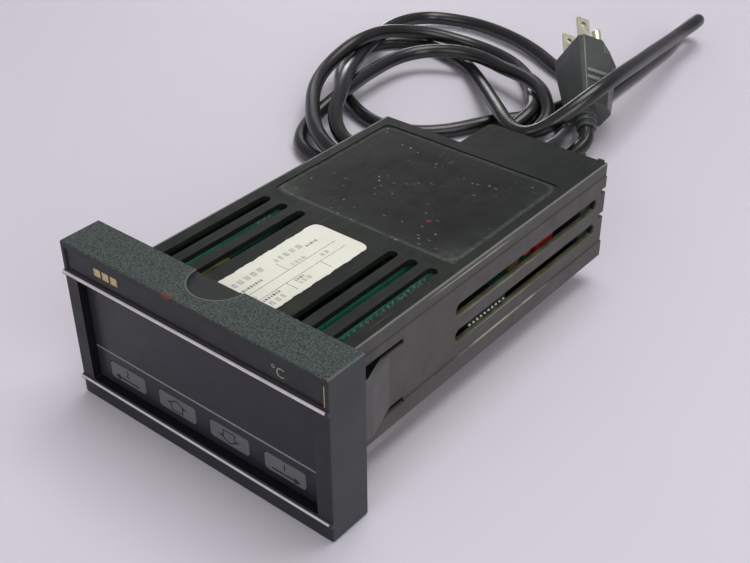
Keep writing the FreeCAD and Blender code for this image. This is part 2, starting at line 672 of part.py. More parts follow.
def make_key(index, name):
    middle = key_middle(index)
    body = new_body(f"{name}_key")
    sketch = sketch_on(body, "front", "overlay_front")
    key_outline(sketch, index, "0")
    pad(sketch, "key_back - overlay_front")
    sketch = sketch_on(body, "front", "key_flange_front")
    key_outline(sketch, index, "key_flange")
    pad(sketch, "key_flange_thickness")
    sketch = sketch_on(body, "front", "key_back")
    circle(sketch, (middle, "key_level"), "key_stem_radius")
    pad(sketch, "key_stem")
    node(body)

    node(cylinder(f"{name}_key_plunger", (middle, "plunger_front", "key_level"), "y",
                  "plunger_radius", "plunger_stand + plunger_seat"))

    body = new_body(f"{name}_key_switch")
    sketch = sketch_on(body, "front", "switch_front")
    rectangle(sketch, (f"{middle} - switch_width / 2", "key_level - switch_width / 2"),
              (f"{middle} + switch_width / 2", "key_level + switch_width / 2"))
    pad(sketch, "switch_depth")
    sketch = sketch_on(body, "front", "switch_front")
    circle(sketch, (middle, "key_level"), "plunger_radius + plunger_gap")
    pocket(sketch, "plunger_seat + key_travel + plunger_gap")
    node(body)


def make_display_board():
    body = new_body("display_board")
    sketch = sketch_on(body, "front", "board_front")
    rectangle(sketch, ("-display_side", "display_low"), ("display_side", "display_high"))
    for spot in boss_spots():
        circle(sketch, spot, "screw_radius + screw_gap")
    pad(sketch, "board_thickness")
    node(body)

    node(box("digit_module", ("digits_margin - window_side", "overlay_back + digits_gap", "digits_low"),
             ("window_side - digits_margin", "board_front", "window_high - digits_drop")))

    screws = []
    for x, z in boss_spots():
        head = cylinder("screw_head", (x, "board_back", z), "y", "screw_head_radius", "screw_head")
        shank = cylinder("screw_shank", (x, "board_front - screw_bite", z), "y", "screw_radius",
                         "screw_bite + board_thickness")
        screws.append(fuse("display_screw", head, shank))
    node(group("display_board_screws", screws))


# Case

def make_case():
    body = new_body("case")
    sketch = sketch_on(body, "front", "flange_front")
    rounded(sketch, ("-flange_side", "flange_low"), ("flange_side", "flange_high"), "bezel_corner")
    pad(sketch, "flange_thickness")
    sketch = sketch_on(body, "front", "flange_front")
    half = [("rail_side", "case_floor"), ("rail_side", "rail_top"), ("side", "rail_top"),
            ("side", "band_low"), ("band_side", "band_low"), ("band_side", "case_top")]
    polygon(sketch, half + [(f"-{across}", up) for across, up in reversed(half)])
    pad(sketch, "right_rear - flange_front")

    # The left half ends earlier than the rear bay on the right
    sketch = sketch_on(body, "top", "case_top")
    rectangle(sketch, ("-rail_side - case_wall", "left_rear"), ("-bay_left", "right_rear + case_wall"))
    pocket(sketch, "case_height")
    fillet(body, "bay_corner", is_bay_corner)

    sketch = sketch_on(body, "front", "flange_front")
    rectangle(sketch, ("-inner_side", "inner_floor"), ("inner_side", "inner_top"))
    pocket(sketch, "left_rear - flange_front")
    sketch = sketch_on(body, "front", "left_rear - case_wall")
    rectangle(sketch, ("case_wall - bay_left", "inner_floor"), ("inner_side", "inner_top"))
    pocket(sketch, "right_rear - left_rear + 2 * case_wall")

    cut_case_vents(body)
    add_snap_tabs(body)
    add_board_guides(body)
    node(body)

    label = new_body("paper_label")
    sketch = sketch_on(label, "top", "case_top")
    label_front = "seat + label_setback"
    rounded(sketch, ("-label_width / 2", label_front), ("label_width / 2", f"{label_front} + label_length"),
            "label_corner")
    pad(sketch, "label_thickness")
    node(label)


def is_bay_corner(edge):
    """True for the upright edge at the bay's outer left corner."""
    bay_edge = value("case_wall") / 2
    near_left = abs(edge.CenterOfMass.x + value("bay_left")) < bay_edge
    near_rear = abs(edge.CenterOfMass.y - value("right_rear")) < bay_edge
    return near_left and near_rear and edge.BoundBox.ZLength > value("case_height") / 2


def cut_case_vents(body):
    sketch = sketch_on(body, "top", "case_top")
    for x_side in (-1, 1):
        for index in range(VENTS_PER_GROUP):
            across = f"{x_side} * (inner_side - vent_margin - {index} * vent_pitch)"
            slot(sketch, (across, "vent_front + vent_width / 2"), (across, "vent_rear - vent_width / 2"),
                 "vent_width / 2")
    pocket(sketch, "case_height")

    sketch = sketch_on(body, "top", "case_top")
    rounded(sketch, ("-plate_side", "vent_rear + plate_setback"),
            ("plate_side", "left_rear - plate_rear_margin"), "plate_corner")
    pocket(sketch, "plate_depth")

    for wall, rear in (("rail_side", "right_rear"), ("-inner_side", "left_rear")):
        sketch = sketch_on(body, "side", wall)
        for level in ("side_vent_high", "side_vent_low"):
            slot(sketch, ("seat + side_vent_setback + side_vent_height / 2", level),
                 (f"{rear} - side_vent_margin - side_vent_height / 2", level), "side_vent_height / 2")
        pocket(sketch, "rail_side - inner_side")

    sketch = sketch_on(body, "side", "rail_side")
    for level in ("side_vent_high", "side_vent_low"):
        rectangle(sketch, ("right_rear - notch_depth", f"{level} + notch_rise - notch_height / 2"),
                  ("right_rear + case_wall", f"{level} + notch_rise + notch_height / 2"))
    pocket(sketch, "rail_side - inner_side")


def add_snap_tabs(body):
    """Cuts a window in each side wall and stands the bent tab in it."""
    sketch = sketch_on(body, "side", "rail_side")
    rectangle(sketch, ("seat", "tab_low - tab_slit"), ("seat + tab_root", "tab_high + tab_slit"))
    pocket(sketch, "2 * rail_side")
    outer = [("side", "seat + tab_root + case_wall"), ("side", "seat + tab_fold"),
             ("side + tab_flare", "seat + tab_crest"), ("side + tab_flare", "seat + tab_tip")]
    inner = [(f"{across} - tab_thickness", depth) for across, depth in reversed(outer)]
    for x_side in (-1, 1):
        sketch = sketch_on(body, "top", "tab_low")
        polygon(sketch, [(f"{x_side} * ({across})", depth) for across, depth in outer + inner])
        pad(sketch, "tab_height")


def add_board_guides(body):
    """Pairs of ribs on the floor that the inner boards stand between."""
    start = "seat + guide_setback"
    sketch = sketch_on(body, "top", "inner_floor")
    for left, rib_front, rib_rear in (
            ("left_board_left", start, "left_board_rear"), ("middle_board_left", start, "middle_board_rear"),
            ("right_board_left", start, "right_board_rear"),
            ("power_board_left", "power_board_front", "power_board_rear")):
        right = f"{left} + board_thickness"
        rectangle(sketch, (f"{left} - guide_gap - guide_width", rib_front), (f"{left} - guide_gap", rib_rear))
        rectangle(sketch, (f"{right} + guide_gap", rib_front),
                  (f"{right} + guide_gap + guide_width", rib_rear))
    pad(sketch, "guide_height")


# Boards and what stands on them

def make_boards():
    places = {
        "left_board": ("inner_front", "left_board_rear"),
        "middle_board": ("inner_front", "middle_board_rear"),
        "right_board": ("inner_front", "right_board_rear"),
        "power_board": ("power_board_front", "power_board_rear"),
    }
    for name, (front_edge, rear_edge) in places.items():
        left = f"{name}_left"
        node(box(name, (left, front_edge, "inner_floor"),
                 (f"{left} + board_thickness", rear_edge, "board_top")))
    for name in ("left_board", "middle_board", "right_board"):
        middle = f"({name}_left + board_thickness / 2)"
        node(box(f"{name}_connector",
                 (f"{middle} - connector_width / 2", "board_back", "board_middle - connector_height / 2"),
                 (f"{middle} + connector_width / 2", "inner_front", "board_middle + connector_height / 2")))


def on_board(label, face, size, near, level):
    """A block-shaped part that stands on a board's face; size is reach, length, height."""
    reach, length, height = size
    edges = sorted((face, f"{face} + {reach}"), key=value)
    return node(box(label, (edges[0], near, level), (edges[1], f"{near} + {length}", f"{level} + {height}")))


def make_left_board_parts():
    face = "left_board_left + board_thickness"
    for index in range(CHIP_COUNT):
        on_board(f"logic_chip_{index + 1}", face, ("chip_thickness", "chip_length", "chip_height"),
                 f"inner_front + chip_offset + {index} * chip_pitch", "inner_floor + chip_rise")
    on_board("yellow_capacitor", face, ("yellow_reach", "yellow_length", "yellow_height"),
             "inner_front + yellow_offset", "board_top - yellow_drop")


def make_middle_board_parts():
    face = "middle_board_left"
    node(cylinder("smoothing_capacitor", (f"{face} - can_length", "can_place", "board_middle"),
                  "x", "can_radius", "can_length"))
    for index in range(RELAY_COUNT):
        on_board(f"output_relay_{index + 1}", face, ("-relay_thickness", "relay_length", "relay_height"),
                 f"relay_front + {index} * relay_pitch", "inner_floor + relay_rise")


def make_right_board_parts():
    on_board("pin_header", "right_board_left + board_thickness",
             ("header_reach", "header_length", "header_height"),
             "right_board_rear - header_length", "side_vent_low - header_drop")


def make_power_board_parts():
    face = "power_board_left + board_thickness"
    for label, kind in (("brown_capacitor", "brown"), ("red_film_capacitor", "film")):
        on_board(label, face, (f"{kind}_reach", f"{kind}_length", f"{kind}_height"),
                 f"power_board_rear - {kind}_offset", f"power_part_level - {kind}_height / 2")
    node(cylinder("orange_varistor", (face, "power_board_rear - varistor_offset", "power_part_level"), "x",
                  "varistor_radius", "varistor_reach"))


def make_transformer():
    body = new_body("transformer_core")
    sketch = sketch_on(body, "front", "core_front")
    rectangle(sketch, ("core_left", "inner_floor"), ("core_right", "core_top"))
    for x_side in (-1, 1):
        rectangle(sketch, (f"core_middle + {x_side} * core_leg / 2", "inner_floor + core_yoke"),
                  (f"core_middle + {x_side} * core_window", "core_top - core_yoke"))
    pad(sketch, "core_stack")
    node(body)

    body = new_body("transformer_coil")
    sketch = sketch_on(body, "top", "inner_floor + core_yoke + coil_gap")
    rectangle(sketch, ("core_middle - core_window + coil_gap", "core_front - coil_swell"),
              ("core_middle + core_window - coil_gap", "core_front + core_stack + coil_swell"))
    rectangle(sketch, ("core_middle - core_leg / 2 - coil_gap", "core_front - coil_gap"),
              ("core_middle + core_leg / 2 + coil_gap", "core_front + core_stack + coil_gap"))
    pad(sketch, "core_top - inner_floor - 2 * core_yoke - 2 * coil_gap")
    node(body)


# Terminals

def make_terminal_block(label, block_front, low_x, high_x, barriers, reach):
    """A block across a rear opening, with upright barriers between its terminals."""
    body = new_body(label)
    sketch = sketch_on(body, "front", block_front)
    rectangle(sketch, (f"{low_x} + block_gap", "inner_floor + block_gap"),
              (f"{high_x} - block_gap", "inner_top - block_gap"))
    pad(sketch, "block_base")
    sketch = sketch_on(body, "front", f"{block_front} + block_base")
    for middle, low in barriers:
        rectangle(sketch, (f"{middle} - barrier_thickness / 2", low),
                  (f"{middle} + barrier_thickness / 2", "inner_top - block_gap"))
    pad(sketch, f"{reach} - {block_front} - block_base")
    return body


def make_terminals():
    power = [f"inner_side - barrier_margin - {i} * terminal_pitch" for i in range(POWER_BARRIER_COUNT)]
    body = make_terminal_block("power_terminals", "block_front", "case_wall - bay_left", "inner_side",
                               [(middle, "barrier_low") for middle in power], "right_rear + barrier_overhang")
    # The outermost barriers rise past the case's rear edge
    sketch = sketch_on(body, "front", "right_rear + block_gap")
    for middle in power[:NUB_COUNT]:
        rectangle(sketch, (f"{middle} - barrier_thickness / 2", "terminal_level"),
                  (f"{middle} + barrier_thickness / 2", "case_top"))
    pad(sketch, "barrier_overhang - block_gap")
    # A wall under the outermost barrier closes the bay behind the side vents
    sketch = sketch_on(body, "front", "block_rear")
    rectangle(sketch, (f"{power[0]} - barrier_thickness / 2", "inner_floor + block_gap"),
              (f"{power[0]} + barrier_thickness / 2", "barrier_low"))
    pad(sketch, "right_rear - block_rear")
    sketch = sketch_on(body, "front", "block_front")
    circle(sketch, ("gland_place", "gland_level"), "relief_root + relief_gap")
    pocket(sketch, "block_base")
    node(body)

    signal = [f"-bay_left - signal_margin - {i} * terminal_pitch" for i in range(SIGNAL_BARRIER_COUNT)]
    node(make_terminal_block("signal_terminals", "signal_front", "-inner_side", "-bay_left",
                             [(middle, "inner_floor + block_gap") for middle in signal], "left_rear"))

    spots = [(f"{middle} - terminal_pitch / 2", "block_rear", "terminal_level") for middle in power[:-1]]
    for level in ("terminal_level", "signal_low_level"):
        spots += [(f"{middle} - terminal_pitch / 2", "signal_rear", level) for middle in signal[:-1]]
    clamps = []
    screws = []
    for x, y, z in spots:
        clamps.append(box("clamp_plate", (f"{x} - clamp_width / 2", y, f"{z} - clamp_width / 2"),
                          (f"{x} + clamp_width / 2", f"{y} + clamp_thickness", f"{z} + clamp_width / 2")))
        screws.append(cylinder("terminal_screw", (x, f"{y} + clamp_thickness", z), "y",
                               "terminal_head_radius", "terminal_head"))
    node(group("terminal_clamps", clamps))
    node(group("terminal_screws", screws))


# Cord

def ringed_taper(start, end, root, tip, groove, count):
    """Outline points of a taper with rings and grooves, from a thick root to a thin tip."""
    points = []
    for ring in range(count):
        crest = f"({root}) - {ring + 1} * ({root} - {tip}) / {count}"
        ring_start, groove_end, ring_end = (
            f"({start}) + ({end} - ({start})) * {2 * ring + part} / {2 * count}" for part in range(3))
        points += [(f"{crest} - {groove}", ring_start), (f"{crest} - {groove}", groove_end),
                   (crest, groove_end), (crest, ring_end)]
    return points


def turned(sketch):
    """Turns an outline about its sketch's upright axis."""
    body = sketch.getParentGeoFeatureGroup()
    feature = body.newObject("PartDesign::Revolution", body.Name + "_turned")
    feature.Profile = sketch
    feature.ReferenceAxis = (sketch, ["V_Axis"])
    feature.Angle = 360
    sketch.Visibility = False
    doc.recompute()


def make_strain_relief():
    """A tapered, grooved sleeve that carries the cord out of the power terminal block."""
    body = new_body("strain_relief")
    sketch = sketch_on(body, "top", "gland_level")
    bind(sketch, "AttachmentOffset.Base.x", "gland_place")
    collar_end = "block_rear + relief_collar_depth"
    relief_end = "block_rear + relief_length"
    points = [("0", "block_front"), ("relief_root", "block_front"), ("relief_root", "block_rear"),
              ("relief_collar", "block_rear"), ("relief_collar", collar_end)]
    points += ringed_taper(collar_end, relief_end, "relief_root", "relief_tip", "relief_groove",
                           RELIEF_RING_COUNT)
    polygon(sketch, points + [("0", relief_end)])
    turned(sketch)
    node(body)


def cord_tube(label, points):
    """A round tube along straight runs and tangent arcs, each arc as large as its runs allow."""
    radius = value("cord_radius")
    edges = []
    radii = []
    start = points[0]
    for before, corner, after in zip(points, points[1:], points[2:]):
        inward = corner - before
        outward = after - corner
        turn = inward.getAngle(outward)
        reach = ARC_SHARE * min(inward.Length, outward.Length)
        radii.append(reach / math.tan(turn / 2))
        first = corner - Vector(inward).normalize() * reach
        last = corner + Vector(outward).normalize() * reach
        halfway = Vector(outward).normalize() - Vector(inward).normalize()
        sag = radii[-1] * (1 / math.cos(turn / 2) - 1)
        middle = corner + halfway.normalize() * sag
        edges.append(Part.LineSegment(start, first).toShape())
        edges.append(Part.Arc(first, middle, last).toShape())
        start = last
    edges.append(Part.LineSegment(start, points[-1]).toShape())
    path = Part.Wire(edges)
    along = (points[1] - points[0]).normalize()
    ring = Part.Wire([Part.Circle(points[0], along, radius).toShape()])
    tube = path.makePipeShell([ring], True, False)
    expected = math.pi * radius ** 2 * path.Length
    print(f"{label}: length {path.Length:.1f}, radii {[round(size) for size in radii]}, "
          f"volume over section times length {tube.Volume / expected:.4f}")
    made = doc.addObject("Part::Feature", label)
    made.Shape = tube
    return node(made)


def from_front(spot):
    """A point counted from the bezel's front plane, in the frame."""
    return Vector(spot[0], value("front") + spot[1], spot[2])


def plug_place():
    turn = FreeCAD.Rotation(Vector(0, 0, 1), PLUG_YAW)
    turn = turn * FreeCAD.Rotation(Vector(1, 0, 0), PLUG_PITCH)
    turn = turn * FreeCAD.Rotation(Vector(0, 1, 0), PLUG_ROLL)
    return FreeCAD.Placement(from_front(PLUG_SPOT), turn)


def make_cord():
    exit_point = Vector(value("gland_place"), value("block_rear + relief_length"), value("gland_level"))
    leaving = [exit_point, exit_point + Vector(0, EXIT_RUN, 0)]
    cord_tube("cord_lead", leaving + [from_front(spot) for spot in LEAD_POINTS])
    neck = value("plug_length / 2 + plug_neck")
    arriving = [plug_place().multVec(Vector(0, -reach, 0)) for reach in (neck + EXIT_RUN, neck)]
    cord_tube("cord_tail", [from_front(spot) for spot in TAIL_POINTS] + arriving)

    spot = (str(COIL_MIDDLE[0]), f"front + {COIL_MIDDLE[1]}", "0")
    ring = cut("coil_ring", cylinder("coil_outside", spot, "z", "coil_outer", "coil_height"),
               cylinder("coil_inside", spot, "z", "coil_inner", "coil_height"))
    doc.recompute()
    coil = doc.addObject("Part::Fillet", "cord_coil")
    coil.Base = ring
    size = value("coil_edge")
    rims = [i for i, edge in enumerate(ring.Shape.Edges, start=1) if edge.BoundBox.ZLength < size]
    coil.Edges = [(i, size, size) for i in rims]
    node(coil)


def plug_outline(sketch, foot, shoulder, share="1"):
    """Across the plug: wide at the blades, narrower towards the ground pin."""
    half = [("plug_foot_width / 2", f"-{foot}"), ("plug_width / 2", f"-{shoulder}"),
            ("plug_width / 2", "plug_roof - plug_bevel"), ("plug_width / 2 - plug_bevel", "plug_roof")]
    whole = half + [(f"-({across})", up) for across, up in reversed(half)]
    polygon(sketch, [(f"{share} * ({across})", f"{share} * ({up})") for across, up in whole])


def loft(first, last):
    """A solid that runs from one outline of a body to another."""
    body = first.getParentGeoFeatureGroup()
    feature = body.newObject("PartDesign::AdditiveLoft", body.Name + "_loft")
    feature.Profile = first
    feature.Sections = [last]
    for sketch in (first, last):
        sketch.Visibility = False
    doc.recompute()


def make_plug():
    """The plug in its own frame, blades along +Y, then set down on the coil."""
    body = new_body("plug_body")
    face = "plug_length / 2"
    grip_start = "-plug_length / 2"
    rear = sketch_on(body, "front", grip_start)
    plug_outline(rear, "plug_foot", "plug_shoulder", "plug_taper")
    shoulder = sketch_on(body, "front", f"{face} - plug_nose")
    plug_outline(shoulder, "plug_foot", "plug_shoulder")
    loft(rear, shoulder)
    sketch = sketch_on(body, "front", f"{face} - plug_nose")
    plug_outline(sketch, "plug_nose_foot", "plug_nose_shoulder")
    pad(sketch, "plug_nose")
    sketch = sketch_on(body, "top", "0")
    rings = ringed_taper(grip_start, f"{grip_start} - plug_neck", "plug_neck_root", "plug_neck_tip",
                         "plug_neck_groove", NECK_RING_COUNT)
    grip_inside = f"{grip_start} + plug_bevel"
    polygon(sketch, [("0", grip_inside), (rings[0][0], grip_inside)] + rings[1:]
            + [("0", f"{grip_start} - plug_neck")])
    turned(sketch)

    made = [body]
    for name, x_side in (("left", -1), ("right", 1)):
        middle = f"{x_side} * blade_pitch / 2"
        tip = f"{face} + blade_length"
        blade = box(f"{name}_blade_blank",
                    (f"{middle} - blade_thickness / 2", face, "blade_rise - blade_width / 2"),
                    (f"{middle} + blade_thickness / 2", tip, "blade_rise + blade_width / 2"))
        hole = cylinder(f"{name}_blade_hole",
                        (f"{middle} - blade_thickness", f"{tip} - blade_hole_inset", "blade_rise"), "x",
                        "blade_hole", "2 * blade_thickness")
        made.append(cut(f"plug_blade_{name}", blade, hole))
    bar = cylinder("ground_pin_bar", ("0", face, "-pin_drop"), "y", "pin_radius", "pin_length - pin_radius")
    tip = doc.addObject("Part::Sphere", "ground_pin_tip")
    bind(tip, "Radius", "pin_radius")
    bind(tip, "Placement.Base.y", f"{face} + pin_length - pin_radius")
    bind(tip, "Placement.Base.z", "-pin_drop")
    made.append(fuse("ground_pin", bar, tip))
    doc.recompute()
    for piece in made:
        piece.Placement = plug_place()
        node(piece)


make_bezel()
make_title_strip()
make_overlay()
for key_index, key_name in enumerate(KEYS):
    make_key(key_index, key_name)
make_display_board()
make_case()
make_boards()
make_left_board_parts()
make_middle_board_parts()
make_right_board_parts()
make_power_board_parts()
make_transformer()
make_terminals()
make_strain_relief()
make_cord()
make_plug()
doc.recompute()

for thing in doc.Objects:
    if "Invalid" in thing.State or "Error" in thing.State:
        raise ValueError(f"{thing.Label} failed: {thing.State}")
os.makedirs("parts", exist_ok=True)
for piece in nodes:
    if piece.Shape.isNull() or not piece.Shape.isValid():
        raise ValueError(f"{piece.Label} has no valid shape")
    piece.Shape.exportStep(f"parts/{piece.Label}.step")
print(len(nodes), "sub-parts written")
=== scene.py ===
import json
import math

import bmesh
import bpy
from mathutils import Matrix, Vector


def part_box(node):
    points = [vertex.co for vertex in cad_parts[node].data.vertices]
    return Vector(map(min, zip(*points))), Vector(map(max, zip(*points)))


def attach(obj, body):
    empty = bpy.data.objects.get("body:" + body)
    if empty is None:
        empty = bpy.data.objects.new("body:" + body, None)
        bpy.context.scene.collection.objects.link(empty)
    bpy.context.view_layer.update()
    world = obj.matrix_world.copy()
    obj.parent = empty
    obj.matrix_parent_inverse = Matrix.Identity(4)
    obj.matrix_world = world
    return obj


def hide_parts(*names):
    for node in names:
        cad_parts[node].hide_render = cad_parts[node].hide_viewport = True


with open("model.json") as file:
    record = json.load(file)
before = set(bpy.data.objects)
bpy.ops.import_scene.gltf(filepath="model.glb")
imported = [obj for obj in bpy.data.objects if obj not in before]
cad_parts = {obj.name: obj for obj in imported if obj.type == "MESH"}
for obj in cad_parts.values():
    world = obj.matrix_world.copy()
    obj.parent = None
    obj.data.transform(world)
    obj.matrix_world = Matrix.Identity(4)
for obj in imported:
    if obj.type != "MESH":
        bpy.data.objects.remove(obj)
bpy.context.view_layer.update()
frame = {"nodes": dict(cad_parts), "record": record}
nodes = frame["nodes"]

# Lengths are in millimetres where nothing else is said, and depths count back from the bezel's front plane
MM = 0.001
RIDGE = 0.9
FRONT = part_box("bezel")[0].y + RIDGE * MM
BEZEL_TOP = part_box("bezel")[1].z / MM
CASE_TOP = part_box("paper_label")[0].z / MM


def at(x, depth, z):
    """A point of the frame, in metres."""
    return Vector((x * MM, FRONT + depth * MM, z * MM))


# Camera, floor and light

CAMERA_SPOT = (220.409, -178.858, 257.945)
CAMERA_TURN = (55.5628, 0.3131, 39.2258)
CAMERA_LENS = 56.539
CAMERA_SENSOR = 36
CAMERA_SHIFT = (-0.00283, 0.00583)
CAMERA_NEAR = 10
ROOM_TINT = (206, 202, 210)
ROOM_GLOW = 0.48
FLOOR_WIDTH = 6000
# Each lamp's place and width in metres, its power, and its spread in degrees
LAMPS = (
    ("ceiling_panel", (0.05, 0.5, 1.7), 1.1, 18.5, 180),
    ("right_window", (1.6, -0.5, 0.9), 1.2, 12.5, 180),
    ("front_fill", (0.1, -1.5, 0.8), 1.2, 7, 180),
    ("left_window", (-1.9, 2.05, 0.44), 0.8, 0.8, 50),
)
# Where the lamps point, in metres
LAMP_AIM = Vector((-0.02, 0.05, 0.02))


def make_camera():
    lens = bpy.data.cameras.new("camera")
    camera = bpy.data.objects.new("camera", lens)
    bpy.context.scene.collection.objects.link(camera)
    camera.location = at(*CAMERA_SPOT)
    camera.rotation_euler = [math.radians(turn) for turn in CAMERA_TURN]
    lens.lens = CAMERA_LENS
    lens.sensor_width = CAMERA_SENSOR
    lens.shift_x, lens.shift_y = CAMERA_SHIFT
    lens.clip_start = CAMERA_NEAR * MM
    bpy.context.scene.camera = camera


def make_floor():
    clear_selection()
    bpy.ops.mesh.primitive_plane_add(size=FLOOR_WIDTH * MM, location=(0, 0, 0))
    floor = bpy.context.object
    floor.name = "floor"
    look = Look("pale_floor", roughness=0.6)
    look.colour(tint(*ROOM_TINT))
    floor.data.materials.append(look.material)


def make_light():
    scene = bpy.context.scene
    scene.view_settings.view_transform = "Standard"
    world = bpy.data.worlds.new("studio")
    world.use_nodes = True
    room = world.node_tree.nodes["Background"]
    room.inputs["Color"].default_value = (*tint(*ROOM_TINT), 1)
    room.inputs["Strength"].default_value = ROOM_GLOW
    scene.world = world
    for name, place, width, power, spread in LAMPS:
        lamp = bpy.data.lights.new(name, "AREA")
        lamp.size = width
        lamp.energy = power
        lamp.spread = math.radians(spread)
        thing = bpy.data.objects.new(name, lamp)
        scene.collection.objects.link(thing)
        thing.location = place
        aim = LAMP_AIM - thing.location
        thing.rotation_euler = aim.to_track_quat("-Z", "Y").to_euler()


# Modelling by hand

def clear_selection():
    if bpy.context.object and bpy.context.object.mode != "OBJECT":
        bpy.ops.object.mode_set(mode="OBJECT")
    bpy.ops.object.select_all(action="DESELECT")


def pick(piece):
    """Makes a piece the only one that is selected."""
    clear_selection()
    piece.select_set(True)
    bpy.context.view_layer.objects.active = piece


def keep_place(name):
    """Names the new piece and moves its place into its mesh."""
    piece = bpy.context.object
    piece.name = name
    piece.data.name = name
    bpy.ops.object.transform_apply(location=True, rotation=True, scale=True)
    return piece


def block(name, low, high):
    """A box between two corners."""
    clear_selection()
    bpy.ops.mesh.primitive_cube_add(size=1, location=(low + high) / 2)
    bpy.context.object.scale = high - low
    return keep_place(name)


def open_up(piece):
    """Goes into edit mode on one piece with nothing selected."""
    pick(piece)
    bpy.ops.object.mode_set(mode="EDIT")
    bpy.ops.mesh.select_all(action="DESELECT")


def pick_faces(piece, test):
    """Selects the faces that the test picks by their middle and normal."""
    bpy.ops.mesh.select_mode(type="FACE")
    mesh = bmesh.from_edit_mesh(piece.data)
    for face in mesh.faces:
        face.select_set(test(face.calc_center_median(), face.normal))
    bmesh.update_edit_mesh(piece.data)


def pick_edges(piece, test):
    """Selects the edges that the test picks by their two ends."""
    bpy.ops.mesh.select_mode(type="EDGE")
    mesh = bmesh.from_edit_mesh(piece.data)
    for edge in mesh.edges:
        edge.select_set(test(edge.verts[0].co, edge.verts[1].co))
    bmesh.update_edit_mesh(piece.data)


def face_outwards():
    """Selects all of the open piece and turns its faces outwards."""
    bpy.ops.mesh.select_all(action="SELECT")
    bpy.ops.mesh.normals_make_consistent(inside=False)


def close_up(piece, angle=35):
    """Leaves edit mode and smooths the faces that meet at less than an angle."""
    bpy.ops.object.mode_set(mode="OBJECT")
    bpy.ops.object.shade_smooth_by_angle(angle=math.radians(angle))
    return piece


def soften(piece, width, segments=2):
    """Rounds a piece's sharp edges."""
    pick(piece)
    bevel = piece.modifiers.new("soft_edges", "BEVEL")
    bevel.width = width * MM
    bevel.segments = segments
    bevel.limit_method = "ANGLE"
    bevel.angle_limit = math.radians(30)
    bpy.ops.object.modifier_apply(modifier=bevel.name)
    bpy.ops.object.shade_smooth_by_angle(angle=math.radians(40))
    return piece


def copy_to(piece, name, offset):
    """A copy of a piece with a mesh of its own, moved by an offset in metres."""
    twin = piece.copy()
    twin.data = piece.data.copy()
    twin.name = name
    twin.data.name = name
    bpy.context.scene.collection.objects.link(twin)
    pick(twin)
    bpy.ops.transform.translate(value=offset)
    bpy.ops.object.transform_apply(location=True, rotation=True, scale=True)
    return twin


def join(name, pieces):
    """One piece made of several."""
    clear_selection()
    for piece in pieces:
        piece.select_set(True)
    bpy.context.view_layer.objects.active = pieces[0]
    bpy.ops.object.join()
    return keep_place(name)


def dress(piece, look, body="controller"):
    """Gives a piece its finish and the body that it rides on."""
    piece.data.materials.clear()
    piece.data.materials.append(look.material)
    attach(piece, body)
    return piece


# Finishes

def tint(red, green, blue):
    """A colour as a picture shows it, in the shader's linear values."""
    return tuple(c / 12.92 if c <= 0.04045 else ((c + 0.055) / 1.055) ** 2.4
                 for c in (red / 255, green / 255, blue / 255))


